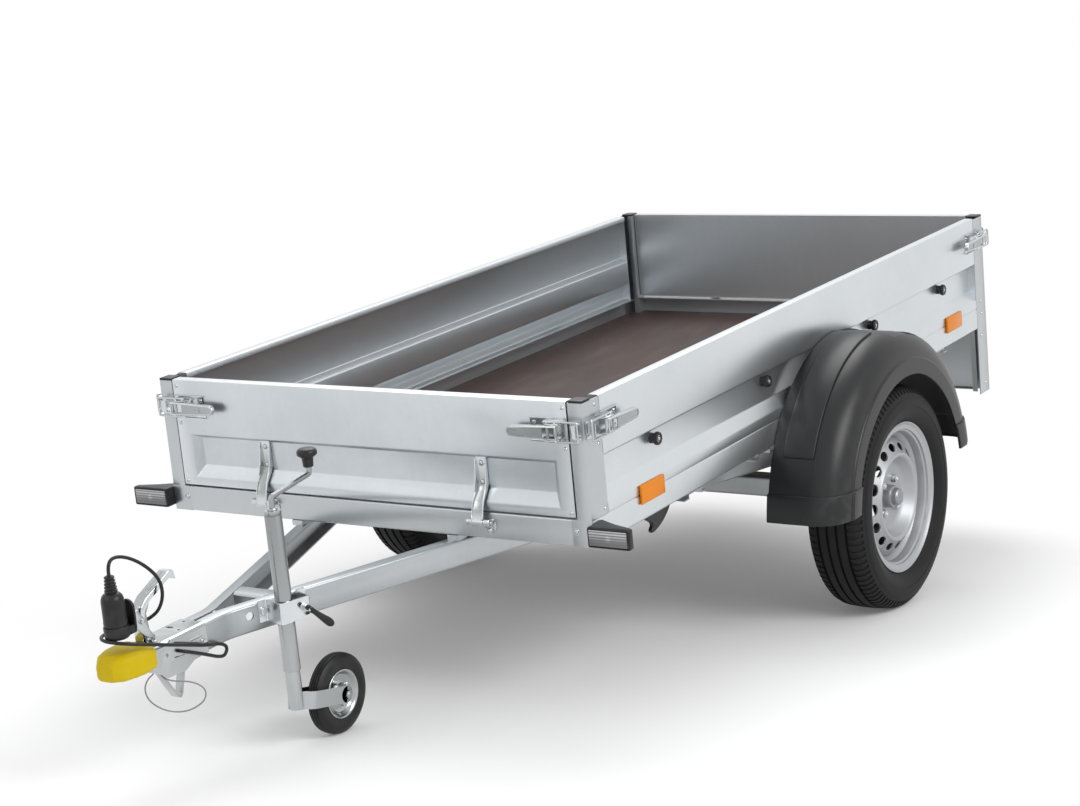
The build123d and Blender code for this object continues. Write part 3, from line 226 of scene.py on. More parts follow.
lamp("lamp_near_side", (4.0, -1.0, 3.0), (0, 0.2, 0.4), (3.0, 2.0), 105)
lamp("lamp_front", (-1.5, -5.0, 3.0), (0, 0, 0.4), (2.5, 1.6), 24)
lamp("lamp_over", (-1.4, 2.0, 4.6), (0, 0.2, 0.4), (3.4, 3.4), 120)
bpy.context.scene.view_settings.view_transform = "Standard"
print("studio ready")

# %% [markdown]
# ## Cords
# Two free lines hang at the drawbar's head.  The black cable to the towing vehicle leaves the coupling, folds
# back under itself, runs along the coupling to its nose, round the holder and up in a loop into the top of the
# parked plug.  The thin clear-coated safety wire hangs in a ring under the coupling.  Each is one smooth curve
# through listed points, with a round section, so that it bends as a real line does.

# %% Cords
CABLE_ROUTE = [(0.036, -0.686, -0.038), (0.046, -0.686, -0.038), (0.051, -0.67, -0.045), (0.051, -0.646, -0.056),
               (0.048, -0.616, -0.07), (0.046, -0.59, -0.083), (0.045, -0.568, -0.089), (0.044, -0.556, -0.074),
               (0.045, -0.576, -0.06), (0.049, -0.622, -0.048), (0.052, -0.67, -0.03), (0.053, -0.722, -0.012),
               (0.051, -0.772, 0.006), (0.044, -0.808, 0.018), (0.022, -0.83, 0.025), (-0.008, -0.835, 0.027),
               (-0.033, -0.819, 0.027), (-0.042, -0.784, 0.026), (-0.038, -0.744, 0.023), (-0.026, -0.716, 0.022),
               (-0.004, -0.704, 0.032), (0.016, -0.7, 0.05), (0.024, -0.694, 0.078), (0.021, -0.696, 0.11),
               (0.01, -0.718, 0.142), (0.002, -0.752, 0.168), (0, -0.788, 0.18), (0, -0.806, 0.169),
               (0, -0.806, 0.149)]
CABLE_D = 0.007
SAFETY_ROUTE = [(0.022, -0.728, -0.07), (0.022, -0.728, -0.08), (0.032, -0.706, -0.094), (0.042, -0.664, -0.108),
                (0.046, -0.634, -0.134), (0.036, -0.632, -0.162), (0.01, -0.654, -0.178), (-0.016, -0.682, -0.172),
                (-0.036, -0.708, -0.146), (-0.038, -0.718, -0.116), (-0.026, -0.716, -0.092),
                (-0.013, -0.708, -0.082), (-0.013, -0.708, -0.07)]
SAFETY_D = 0.003


def line_along(name, route, diameter, placing=PARKED):
    """A round flexible line with route as its control points; the points carry its half thickness."""
    curve = bpy.data.curves.new(name, "CURVE")
    curve.dimensions = "3D"
    curve.resolution_u = 10
    curve.bevel_depth = 1.0
    curve.bevel_resolution = 3
    curve.use_fill_caps = True
    spline = curve.splines.new("NURBS")
    spline.points.add(len(route) - 1)
    for point, place in zip(spline.points, route):
        point.co = (*(placing @ Vector(place)), 1)
        point.radius = diameter / 2
    spline.order_u = 3
    spline.use_endpoint_u = True
    piece = bpy.data.objects.new(name, curve)
    bpy.context.scene.collection.objects.link(piece)
    return piece


cable = line_along("vehicle_cable", CABLE_ROUTE, CABLE_D)
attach(cable, "chassis")
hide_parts("plug_cable")
safety_line = line_along("safety_line", SAFETY_ROUTE, SAFETY_D)
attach(safety_line, "chassis")
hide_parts("safety_wire")

# %% [markdown]
# ## Shaping by hand
# Most of the trailer is folded from sheet or turned on a lathe, so three moves make nearly every piece.  A line
# is pulled from point to point and then drawn out into a sheet, a solid or a turned body.  A flat plate is cut
# across with bisect, and one field of it is pushed in, as a press does.  Last, folds are rounded with Bevel and
# a sheet gets its thickness with Solidify.

# %% Selecting
def alone(*objects):
    """Select only these objects, with the first one active."""
    bpy.ops.object.select_all(action="DESELECT")
    for one in objects:
        one.select_set(True)
    bpy.context.view_layer.objects.active = objects[0]
    return objects[0]


def pick(kind, test):
    """In edit mode, select the vertices, edges or faces whose middle passes the test."""
    mesh = bpy.context.object.data
    bpy.ops.mesh.select_mode(type=kind)
    bpy.ops.mesh.select_all(action="DESELECT")
    bpy.ops.object.mode_set(mode="OBJECT")
    if kind == "FACE":
        for face in mesh.polygons:
            face.select = test(face.center)
    elif kind == "EDGE":
        for edge in mesh.edges:
            ends = [mesh.vertices[index].co for index in edge.vertices]
            edge.select = test((ends[0] + ends[1]) / 2, ends[1] - ends[0])
    else:
        for vertex in mesh.vertices:
            vertex.select = test(vertex.co)
    bpy.ops.object.mode_set(mode="EDIT")


def edit(piece):
    """Select a piece alone and open it for editing."""
    alone(piece)
    bpy.ops.object.mode_set(mode="EDIT")
    return piece


def leave_edit():
    """Back to object mode, with the object that was edited."""
    bpy.ops.object.mode_set(mode="OBJECT")
    return bpy.context.object


# %% Pulling, turning and pressing
def push(offset):
    """Extrude what is selected by an offset."""
    bpy.ops.mesh.extrude_region_move(TRANSFORM_OT_translate={"value": Vector(offset)})


def pulled(points, closed=False):
    """In edit mode: one vertex pulled from point to point, closed to a face where asked."""
    bpy.ops.object.select_all(action="DESELECT")
    bpy.ops.mesh.primitive_plane_add(size=0.001)
    bpy.ops.object.mode_set(mode="EDIT")
    bpy.ops.mesh.select_mode(type="VERT")
    bpy.ops.mesh.select_all(action="SELECT")
    bpy.ops.mesh.merge(type="CENTER")
    bpy.ops.transform.translate(value=points[0])
    for here, there in zip(points, points[1:]):
        push(Vector(there) - Vector(here))
    bpy.ops.mesh.select_all(action="SELECT")
    if closed:
        bpy.ops.mesh.edge_face_add()


def outward():
    """Point all faces outwards after doubles are merged."""
    bpy.ops.mesh.select_all(action="SELECT")
    bpy.ops.mesh.remove_doubles(threshold=1e-6)
    bpy.ops.mesh.normals_make_consistent(inside=False)


def block(points, offset):
    """A solid with a flat outline, drawn out by an offset."""
    pulled(points, closed=True)
    push(offset)
    outward()
    return leave_edit()


def sheet(points, offset):
    """An open folded sheet: a line drawn out by an offset."""
    pulled(points)
    push(offset)
    outward()
    return leave_edit()


def turned(points, centre, axis, steps=48, angle=2 * math.pi):
    """A lathe-turned piece: a line spun about an axis."""
    pulled(points)
    bpy.ops.mesh.spin(steps=steps, angle=angle, center=centre, axis=axis)
    outward()
    return leave_edit()


def turned_x(profile, centre, steps=48):
    """Turned about the x direction: profile is (distance along x, radius)."""
    x, y, z = centre
    return turned([(x + along, y + radius, z) for along, radius in profile], centre, LEFT, steps)


def turned_z(profile, centre, steps=32):
    """Turned about the z direction: profile is (radius, height)."""
    x, y, z = centre
    return turned([(x + radius, y, z + height) for radius, height in profile], centre, UP, steps)


def pin_x(half, radius, centre, steps):
    """A plain round pin or hole along the x direction."""
    return turned_x([(-half, 0), (-half, radius), (half, radius), (half, 0)], centre, steps)


def pin_z(radius, low, high, centre, steps=24):
    """A plain round pin or hole along the z direction."""
    return turned_z([(0, low), (radius, low), (radius, high), (0, high)], centre, steps)


def lofted(sections):
    """A closed skin bridged over outlines that stand one behind the other."""
    rings = []
    for points in sections:
        pulled(points, closed=True)
        rings.append(leave_edit())
    alone(*rings)
    bpy.ops.object.join()
    bpy.ops.object.mode_set(mode="EDIT")
    bpy.ops.mesh.select_all(action="SELECT")
    bpy.ops.mesh.delete(type="ONLY_FACE")
    bpy.ops.mesh.select_all(action="SELECT")
    bpy.ops.mesh.bridge_edge_loops()
    bpy.ops.mesh.select_all(action="SELECT")
    bpy.ops.mesh.fill_holes(sides=0)
    outward()
    return leave_edit()


def cuboid(low, high):
    """A box between two corners."""
    low, high = Vector(low), Vector(high)
    bpy.ops.object.select_all(action="DESELECT")
    bpy.ops.mesh.primitive_cube_add(size=1, location=(low + high) / 2)
    piece = bpy.context.object
    piece.scale = high - low
    bpy.ops.object.transform_apply()
    return piece


def cut(cuts):
    """In edit mode: slice everything by planes, each (point, direction)."""
    for place, direction in cuts:
        bpy.ops.mesh.select_all(action="SELECT")
        bpy.ops.mesh.bisect(plane_co=place, plane_no=direction)


# %% Rounding, thickening and joining
def applied(piece, kind, **values):
    """Add a modifier with these values and apply it."""
    alone(piece)
    bpy.ops.object.modifier_add(type=kind)
    modifier = piece.modifiers[-1]
    for name, value in values.items():
        setattr(modifier, name, value)
    bpy.ops.object.modifier_apply(modifier=modifier.name)
    return piece


def rounded(piece, width, steps=2, angle=25):
    """Round every edge sharper than angle."""
    return applied(piece, "BEVEL", width=width, segments=steps, limit_method="ANGLE",
                   angle_limit=math.radians(angle), use_clamp_overlap=True)


def walled(piece, thickness):
    """Give an open sheet its thickness, half on each side."""
    return applied(piece, "SOLIDIFY", thickness=thickness, offset=0, use_even_offset=True)


def holed(piece, *tools):
    """Cut the tools out of a piece, and throw the tools away."""
    for tool in tools:
        applied(piece, "BOOLEAN", operation="DIFFERENCE", object=tool, solver="EXACT")
        bpy.data.objects.remove(tool)
    return piece


def joined(*pieces):
    """Several meshes as one object."""
    alone(*pieces)
    if len(pieces) > 1:
        bpy.ops.object.join()
    return pieces[0]


def moved(piece, matrix):
    """Move, turn or mirror a piece's mesh; a mirrored one is turned right side out again."""
    piece.data.transform(matrix)
    if matrix.determinant() < 0:
        piece.data.flip_normals()
    return piece


def copied(piece, matrix):
    """A copy with its own mesh, moved, turned or mirrored."""
    alone(piece)
    bpy.ops.object.duplicate()
    return moved(bpy.context.object, matrix)


def shift(*offset):
    """The matrix that moves by an offset."""
    return Matrix.Translation(offset)


MIRROR = Matrix.Scale(-1, 4, LEFT)
UPSIDE_DOWN = Matrix.Scale(-1, 4, UP)
TO_REAR = shift(0, BODY_L, 0) @ Matrix.Rotation(math.pi, 4, "Z")


def mirrored(piece):
    """The piece joined with its mirror image on the other side."""
    return joined(piece, copied(piece, MIRROR))


def four_corners(piece):
    """The piece on both sides of the front, and again on both sides of the rear, as one."""
    pair = [piece, copied(piece, MIRROR)]
    return joined(*pair, *[copied(one, TO_REAR) for one in pair])


# %% Heads of bolts and bent rods
def ring_of(piece, count, first, centre):
    """Copies of a piece in a ring about the x direction; the first one is turned by first degrees."""
    turns = [Matrix.Rotation(math.radians(first + 360 * number / count), 4, "X") for number in range(count)]
    copies = [copied(piece, shift(*centre) @ turn) for turn in turns]
    bpy.data.objects.remove(piece)
    return joined(*copies)


def turned_to(piece, direction):
    """A piece drawn upwards from the origin, turned to face a direction."""
    return moved(piece, UP.rotation_difference(Vector(direction)).to_matrix().to_4x4())


def spread(piece, places):
    """The piece at the first place, joined with a copy of it at each other place."""
    copies = [copied(piece, shift(*place)) for place in places[1:]]
    return joined(moved(piece, shift(*places[0])), *copies)


def heads(profile, direction, places, steps=16):
    """Turned heads or pins that all face a direction, one at each place."""
    return spread(turned_to(turned_z(profile, (0, 0, 0), steps), direction), places)


def hexagon(across, height, washer, direction, place):
    """A hexagon head that faces a direction at a place; washer is the radius of what lies under it, or 0."""
    bpy.ops.object.select_all(action="DESELECT")
    bpy.ops.mesh.primitive_cylinder_add(vertices=6, radius=across / 2 / math.cos(math.pi / 6), depth=height,
                                        location=(0, 0, height / 2 + 0.001))
    head = bpy.context.object
    bpy.ops.object.transform_apply(location=True)
    rounded(head, across * 0.04)
    if washer:
        joined(head, turned_z([(0, 0.0014), (washer - 0.0004, 0.0014), (washer, 0.001), (washer, -0.0006)],
                              (0, 0, 0), 24))
    return moved(turned_to(head, direction), shift(*place))


def rod(route, diameter, rounding=0.006):
    """A round rod along straight runs, bent at each corner."""
    places = [Vector(place) for place in route]
    controls = places[:1]
    for before, corner, after in zip(places, places[1:], places[2:]):
        controls += [corner + (before - corner).normalized() * rounding, corner,
                     corner + (after - corner).normalized() * rounding]
    controls.append(places[-1])
    piece = line_along("rod", controls, diameter, Matrix())
    alone(piece)
    bpy.ops.object.convert(target="MESH")
    return bpy.context.object


# %% Finishing
SMOOTH_BELOW = math.radians(32)


def done(piece, name, body, look, *stands_for, flat_faces=False):
    """Name a finished piece, park it, give it its finish, and let it ride on its body.

    flat_faces keeps broad faces flat in the light beside their rounded edges.
    """
    slot, finish = look
    alone(piece)
    bpy.ops.object.shade_smooth_by_angle(angle=SMOOTH_BELOW)
    if flat_faces:
        applied(piece, "WEIGHTED_NORMAL", keep_sharp=True)
    piece.data.transform(PARKED)
    piece.data.update()
    piece.name = name
    piece.data.name = name
    piece.data.materials.clear()
    piece.data.materials.append(finish)
    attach(piece, body)
    if stands_for:
        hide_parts(*stands_for)
    return piece


def both_sides(piece, name, body, look, *stands_for):
    """Finish a piece of the left side and its mirror image; {} stands for left or right."""
    twin = copied(piece, MIRROR)
    for one, side in ((piece, "left"), (twin, "right")):
        done(one, f"{side}_{name}", body.format(side), look, *[node_name.format(side) for node_name in stands_for])

# %% [markdown]
# ## Effects shared by the finishes
# Four effects return in many finishes, so each is a node group that is built once.  "zinc crystals" breaks a
# surface into the small angular fields of a zinc coating, "moulded grain" is the fine orange peel of plastic and
# rubber, and "handling" draws faint scuffs and dust; on zinc these are drawn out upright into lighter streaks,
# which are painted reflection as well as scuffs.  "painted edge glint and wear" lightens the edges: a painted
# highlight, and a thinner coating there too.

# %% Groups of nodes
FLOAT = "NodeSocketFloat"
COLOUR = "NodeSocketColor"
VECTOR = "NodeSocketVector"


def group(name, inputs, outputs):
    """An empty node group, what comes in, and its end node; the kind of an input follows from its value."""
    tree = bpy.data.node_groups.new(name, "ShaderNodeTree")
    for label, value in inputs.items():
        kind = FLOAT if isinstance(value, float) else {3: VECTOR, 4: COLOUR}[len(value)]
        tree.interface.new_socket(label, in_out="INPUT", socket_type=kind).default_value = value
    for label, kind in outputs.items():
        tree.interface.new_socket(label, in_out="OUTPUT", socket_type=kind)
    return tree, tree.nodes.new("NodeGroupInput").outputs, tree.nodes.new("NodeGroupOutput")


def in_place(tree):
    """Where a point of the surface is, in the object's own frame."""
    return node(tree, "TexCoord").outputs["Object"]


# %% Zinc crystals
zinc_group, entry, out = group("zinc crystals", {"Scale": 90.0, "Dark": (0.4, 0.41, 0.42, 1), "Light":
                               (0.58, 0.59, 0.6, 1), "Rough Low": 0.28, "Rough High": 0.46}, {"Color": COLOUR,
                               "Roughness": FLOAT, "Height": FLOAT})
place = in_place(zinc_group)
bent = node(zinc_group, "TexNoise", None, Vector=place, Scale=35.0, Detail=3.0)
shifted = computed(zinc_group, "MULTIPLY_ADD", bent.outputs["Color"], (0.003, 0.003, 0.003), place,
                   kind="VectorMath")
cells = node(zinc_group, "TexVoronoi", None, Vector=shifted, Scale=entry["Scale"])
cell_tone = node(zinc_group, "SeparateColor", None, Color=cells.outputs["Color"])
cloud = node(zinc_group, "TexNoise", None, Vector=place, Scale=3.5, Detail=5.0, Roughness=0.62)
tone_cloud = ranged(zinc_group, cloud.outputs["Fac"], 0.3, 0.7, 0.1, 0.8)
tone = computed(zinc_group, "MULTIPLY_ADD", cell_tone.outputs["Red"], 0.1, tone_cloud)
rough = node(zinc_group, "MapRange", None, Value=tone, To_Min=entry["Rough High"], To_Max=entry["Rough Low"])
given(zinc_group, out, Color=mixed(zinc_group, tone, entry["Dark"], entry["Light"]),
      Roughness=rough.outputs["Result"], Height=bent.outputs["Fac"])

# %% Moulded grain
grain_group, entry, out = group("moulded grain", {"Scale": 900.0, "Depth": 1.0}, {"Height": FLOAT})
place = in_place(grain_group)
grain = node(grain_group, "TexNoise", None, Vector=place, Scale=entry["Scale"], Detail=2.0)
peel = node(grain_group, "TexNoise", None, Vector=place, Scale=140.0, Detail=2.0)
total = computed(grain_group, "MULTIPLY_ADD", peel.outputs["Fac"], 0.8, grain.outputs["Fac"])
given(grain_group, out, Height=computed(grain_group, "MULTIPLY", total, entry["Depth"]))

# %% Handling: scuffs and dust
handling_group, entry, out = group("handling",
                                   {"Color": (0.5, 0.5, 0.5, 1), "Scuff": (0.7, 0.7, 0.7, 1), "Amount": 0.25,
                                    "Stretch": (4.0, 4.0, 40.0)}, {"Color": COLOUR, "Mask": FLOAT})
place = in_place(handling_group)
drawn_out = computed(handling_group, "MULTIPLY", place, entry["Stretch"], kind="VectorMath")
streaks = node(handling_group, "TexNoise", None, Vector=drawn_out, Scale=4.0, Detail=2.0, Roughness=0.5)
patches = node(handling_group, "TexNoise", None, Vector=place, Scale=2.2, Detail=3.0)
streak_mask = ranged(handling_group, streaks.outputs["Fac"], 0.48, 0.72, 0.0, 1.0)
patch_mask = ranged(handling_group, patches.outputs["Fac"], 0.42, 0.62, 0.0, 1.0)
both = computed(handling_group, "MULTIPLY", streak_mask, patch_mask)
share = computed(handling_group, "MULTIPLY", both, entry["Amount"])
given(handling_group, out, Color=mixed(handling_group, share, entry["Color"], entry["Scuff"]), Mask=share)

# %% Edge glint: painted highlight, and wear
edge_glint_and_wear_group, entry, out = group("edge shine",
                               {"Color": (0.5, 0.5, 0.5, 1), "Edge": (0.8, 0.8, 0.8, 1), "Amount": 0.6},
                               {"Color": COLOUR})
# Pointy edges are mixed towards the lighter Edge colour.  This is a painted highlight along the edges, and also a
# thinner coating there.
pointed = node(edge_glint_and_wear_group, "NewGeometry").outputs["Pointiness"]
share = computed(edge_glint_and_wear_group, "MULTIPLY", ranged(edge_glint_and_wear_group, pointed, 0.515, 0.58, 0.0, 1.0), entry["Amount"])
given(edge_glint_and_wear_group, out, Color=mixed(edge_glint_and_wear_group, share, entry["Color"], entry["Edge"]))
print("effects:", len(bpy.data.node_groups))


def placed(tree, effect, **inputs):
    """A node group in a material, with its inputs."""
    return node(tree, "Group", {"node_tree": effect}, **inputs)


def bumped(tree, shader, height, strength, distance):
    """Feed a height to the shader as a bump."""
    bump = node(tree, "Bump", None, Height=height, Strength=strength, Distance=distance)
    given(tree, shader, Normal=bump.outputs["Normal"])


# %% [markdown]
# ## Finishes
# Zinc is one look in five grades: bright smooth sheet on the panels, duller steel on the chassis, smooth plating
# on the fittings, dark tube, and dull grey on the axle.  They differ only in the values given to the same three
# effects.  The duller chassis grade is partly painted shade: the end rails and posts, which face forwards, take it,
# while the side rails of the same steel take the brighter sheet grade.  Plastic, rubber, cast metal and the silver
# lacquer of the road rims are another look: one colour with a fine grain.

# %% Zinc finishes
# Handling streaks on zinc are stretched upright: they are painted vertical reflections as well as scuffs.
UPRIGHT_SHEEN_STREAKS = (16.0, 16.0, 1.6)
ALL_ROUND = (9.0, 9.0, 9.0)
LENS_ROUGH = 0.12


def zinc(name, dark, light, rough, scale, scuffs, bump=0.012, metallic=0.95, edge=0.4):
    """A zinc-coated steel: tone, crystal size, scuffs, painted upright reflection streaks and painted edge glint.
    """
    material, tree, shader = paint(name)
    crystals = placed(tree, zinc_group, Scale=scale, Dark=(*dark, 1), Light=(*light, 1), Rough_Low=rough[0],
                      Rough_High=rough[1])
    worn = placed(tree, handling_group, Color=crystals.outputs["Color"], Scuff=(*light, 1), Amount=scuffs,
                  Stretch=UPRIGHT_SHEEN_STREAKS)
    # Edges are lightened towards this pale colour: a painted highlight, together with worn coating.
    glint_and_wear_edged = placed(tree, edge_glint_and_wear_group, Color=worn.outputs["Color"], Edge=(0.8, 0.83, 0.85, 1), Amount=edge)
    given(tree, shader, Metallic=metallic, Base_Color=glint_and_wear_edged.outputs["Color"],
          Roughness=crystals.outputs["Roughness"])
    bumped(tree, shader, crystals.outputs["Height"], bump, 0.0004)
    return material


panel_zinc = zinc("galvanised sheet", (0.47, 0.505, 0.525), (0.6, 0.635, 0.66), (0.26, 0.34), 110, 0.3)
frame_and_shade_zinc = zinc("galvanised steel", (0.235, 0.257, 0.266), (0.35, 0.373, 0.382), (0.26, 0.4), 110, 0.3)
plated = zinc("plated fittings", (0.34, 0.36, 0.365), (0.45, 0.47, 0.475), (0.15, 0.24), 260, 0.1, bump=0.006,
              metallic=1.0, edge=0.6)
tube_zinc = zinc("galvanised tube", (0.185, 0.2, 0.203), (0.27, 0.285, 0.288), (0.2, 0.32), 150, 0.15, bump=0.008,
                 metallic=1.0)
dull_zinc = zinc("galvanised axle", (0.2, 0.215, 0.22), (0.3, 0.31, 0.315), (0.42, 0.58), 90, 0.35)


# %% Plastic, rubber and lacquer
def moulded(name, colour, rough, scuff, amount, grain_scale=900.0, bump=0.12, coat=0.0, metallic=0.0, gloss=0.5):
    """A moulded or painted surface with a fine grain and faint scuffs."""
    material, tree, shader = paint(name)
    worn = placed(tree, handling_group, Color=(*colour, 1), Scuff=(*scuff, 1), Amount=amount,
                  Stretch=ALL_ROUND)
    rougher = ranged(tree, worn.outputs["Mask"], 0.0, 1.0, rough, rough + 0.25)
    given(tree, shader, Base_Color=worn.outputs["Color"], Roughness=rougher, Coat_Weight=coat, Metallic=metallic,
          Specular_IOR_Level=gloss)
    grained = placed(tree, grain_group, Scale=grain_scale, Depth=1.0)
    bumped(tree, shader, grained.outputs["Height"], bump, 0.0006)
    return material


guard_black = moulded("mudguard plastic", (0.0095, 0.0098, 0.011), 0.36, (0.06, 0.06, 0.062), 0.35, bump=0.14,
                      gloss=0.4)
part_black = moulded("black plastic", (0.01, 0.01, 0.011), 0.34, (0.06, 0.06, 0.06), 0.25, bump=0.05, gloss=0.35)
tyre_black = moulded("tyre rubber", (0.0085, 0.0085, 0.0088), 0.58, (0.04, 0.039, 0.037), 0.4, 600.0, bump=0.16,
                     gloss=0.22)
caster_black = moulded("jockey rubber", (0.01, 0.01, 0.0105), 0.46, (0.05, 0.05, 0.05), 0.3, 700.0, gloss=0.3)
cable_black = moulded("cable jacket", (0.01, 0.01, 0.0105), 0.4, (0.04, 0.04, 0.04), 0.3, 1200.0, bump=0.05,
                      gloss=0.35)
cap_yellow = moulded("yellow plastic", (0.56, 0.41, 0.002), 0.42, (0.64, 0.5, 0.03), 0.2, bump=0.06, gloss=0.15)
rim_silver = moulded("silver lacquer", (0.4, 0.41, 0.425), 0.46, (0.52, 0.53, 0.54), 0.2, 1400.0, bump=0.04,
                     coat=0.1, metallic=0.7)
hub_grey = moulded("cast hub", (0.3, 0.31, 0.32), 0.42, (0.45, 0.45, 0.46), 0.3, 500.0, bump=0.22, metallic=0.85)
wire_clear = moulded("coated wire", (0.2, 0.2, 0.19), 0.3, (0.35, 0.35, 0.33), 0.2, bump=0.02, coat=0.4)


# %% [markdown]
# Reflectors and lenses are clear plastic with rows of tiny prisms behind.  The prisms are a bump on a checker of
# waves; the colour goes a little deeper in the grooves.

# %% Lenses
def waves(tree, place, scale, axes):
    """Two crossing sets of waves."""
    return [node(tree, "TexWave", {"bands_direction": axis}, Vector=place, Scale=scale).outputs["Fac"]
            for axis in axes]


def lens(name, colour, deep, scale=260.0):
    """A prismatic lens or reflector."""
    material, tree, shader = paint(name)
    prism = computed(tree, "MULTIPLY", *waves(tree, in_place(tree), scale, "YZ"))
    given(tree, shader, Base_Color=mixed(tree, prism, (*deep, 1), (*colour, 1)), Roughness=LENS_ROUGH,
          Coat_Weight=0.08, Specular_IOR_Level=0.18)
    bumped(tree, shader, prism, 0.35, 0.0008)
    return material


amber = lens("amber reflector", (0.86, 0.3, 0.003), (0.62, 0.17, 0.001), scale=90.0)
red_lens = lens("red lamp lens", (0.62, 0.02, 0.02), (0.3, 0.005, 0.008))
clear_lens = lens("clear lamp lens", (0.62, 0.63, 0.64), (0.16, 0.165, 0.17), scale=55.0)

# %% [markdown]
# The load floor is plywood with a dark brown film.  A wire mesh is rolled into the film, so it is a grid of
# small shallow squares with a faint sheen, and the film is a little uneven in tone.

# %% Floor film
floor_film, tree, shader = paint("brown plywood film")
place = in_place(tree)
aslant = node(tree, "Mapping", None, Vector=place, Rotation=(0, 0, math.radians(45))).outputs[0]
mesh_print = computed(tree, "MAXIMUM", *waves(tree, aslant, 62.0, "XY"))
uneven = node(tree, "TexNoise", None, Vector=place, Scale=6.0, Detail=6.0, Roughness=0.6).outputs["Fac"]
brown = mixed(tree, ranged(tree, uneven, 0.35, 0.65, 0, 1), (0.04, 0.024, 0.021, 1), (0.06, 0.037, 0.032, 1))
printed = mixed(tree, ranged(tree, mesh_print, 0.5, 1.0, 0.0, 0.35), brown, (0.085, 0.056, 0.049, 1))
dusty = placed(tree, handling_group, Color=printed, Scuff=(0.17, 0.14, 0.125, 1), Amount=0.25, Stretch=(6, 1.2, 6))
given(tree, shader, Base_Color=dusty.outputs["Color"], Roughness=ranged(tree, uneven, 0.3, 0.7, 0.42, 0.58),
      Specular_IOR_Level=0.22)
bumped(tree, shader, mesh_print, 0.25, 0.001)
print("finishes:", len(bpy.data.materials))

# %% [markdown]
# Each finish belongs to a material slot of the record, and the two are passed together; a piece takes only the
# finish.

# %% Slots and their finishes
PANEL = ("galvanised_sheet", panel_zinc)
# The next two are two tones of the one galvanised_steel slot.  The darker tone is the duller steel of the drawbar,
# and painted shade on the forward-facing end rails and posts.
FOLDED = ("galvanised_steel", panel_zinc)
FRAME_AND_SHADE = ("galvanised_steel", frame_and_shade_zinc)
PLATED = ("bright_zinc", plated)
TUBE = ("bright_zinc", tube_zinc)
BLACK = ("black_plastic", part_black)
AMBER = ("amber_plastic", amber)

# %% [markdown]
# ## Side panels
# A side panel is one rolled sheet: its long channel runs from post to post, with a wide slanted ledge below and a
# steep one above, and its top edge is folded inwards twice to make a strong rim.  So the outline is pulled once
# and drawn out along the trailer; a bevel then rounds the folds, and Solidify gives the sheet its thickness.

# %% Side panels
SHEET = 0.0015
RIM_DROP = 0.012
panel_line = [(-WALL, RIM_Z - RIM_DROP), (-WALL, RIM_Z), (0, RIM_Z), (0, RIB["top"]), (-RIB["depth"], RIB["head"]),
             (-RIB["depth"], RIB["foot"]), (0, RIB["low"]), (0, RAIL_H), (-WALL, RAIL_H)]
left_side = sheet([(x, POST_SIDE, z) for x, z in panel_line], (0, BODY_L - 2 * POST_SIDE, 0))
moved(left_side, shift(HALF_W - SHEET / 2, 0, -SHEET / 2))
rounded(left_side, 0.0022)
walled(left_side, SHEET)
ends = [cuboid((HALF_W - WALL, end_y - SHEET / 2, RAIL_H), (HALF_W - SHEET, end_y + SHEET / 2, RIM_Z - SHEET))
        for end_y in (POST_SIDE + SHEET, BODY_L - POST_SIDE - SHEET)]
joined(left_side, *ends)
both_sides(left_side, "side", "chassis", PANEL, "side_panel_{}")
print("side panels:", len(left_side.data.polygons), "faces each")

# %% [markdown]
# ## Gates
# The front gate and the tailgate are one pressing each, closed by a flat skin on the inside.  Their channel ends
# short of the edges, so a flat plate is sliced at the borders of the channel; the middle field is then extruded
# inwards and made smaller, which gives the four slopes at once.  The plate is drawn facing left, as a side panel
# is, and turned a quarter to face forwards.

# %% Pressing a channel
END_FLAT = 0.034
END_SLOPE = 0.018
pulled([(0, -GATE_HALF, PANEL_Z), (0, -GATE_HALF, RIM_Z)])
push((0, 2 * GATE_HALF, 0))
cut([((0, END_FLAT - GATE_HALF, 0), REAR), ((0, GATE_HALF - END_FLAT, 0), REAR), ((0, 0, RIB["low"]), UP),
     ((0, 0, RIB["top"]), UP)])
pick("FACE", lambda at: abs(at.y) < GATE_HALF - END_FLAT and RIB["low"] < at.z < RIB["top"])
push((-RIB["depth"], 0, 0))
middle = Vector((-RIB["depth"], 0, (RIB["low"] + RIB["top"]) / 2))
bpy.ops.transform.resize(value=(1, 1 - END_SLOPE / (GATE_HALF - END_FLAT),
                                (RIB["head"] - RIB["foot"]) / (RIB["top"] - RIB["low"])), center_override=middle)
bpy.ops.transform.translate(value=(0, 0, (RIB["foot"] + RIB["head"]) / 2 - middle.z))

# %% Gates
for height in (RIM_Z, PANEL_Z):
    pick("EDGE", lambda at, run: abs(at.z - height) < 1e-5 and abs(run.y) > 1e-4 and abs(at.x) < 1e-5)
    push((-WALL, 0, 0))
outward()
gate = leave_edit()
moved(gate, shift(0, SHEET / 2, -SHEET / 2) @ Matrix.Rotation(-math.pi / 2, 4, "Z"))
rounded(gate, 0.0024)
walled(gate, SHEET)
skin = cuboid((-GATE_HALF, WALL - SHEET, PANEL_Z), (GATE_HALF, WALL, RIM_Z - SHEET))
closer = cuboid((GATE_HALF - SHEET, SHEET, PANEL_Z), (GATE_HALF, WALL - SHEET, RIM_Z - SHEET))
joined(gate, skin, mirrored(closer))
back_gate = copied(gate, TO_REAR)
done(gate, "front_flap", "front_gate", PANEL, "front_gate")
done(back_gate, "rear_flap", "tailgate", PANEL, "tailgate")

# %% [markdown]
# ## Corner posts, caps and rails
# A corner post is folded from one strip: its side plate lies flush with the panel, its narrow face looks forward,
# and two more folds stiffen it inside.  The front posts widen to a foot over the ends of the rail; the rear posts
# run on down below the body and carry the lamp board.

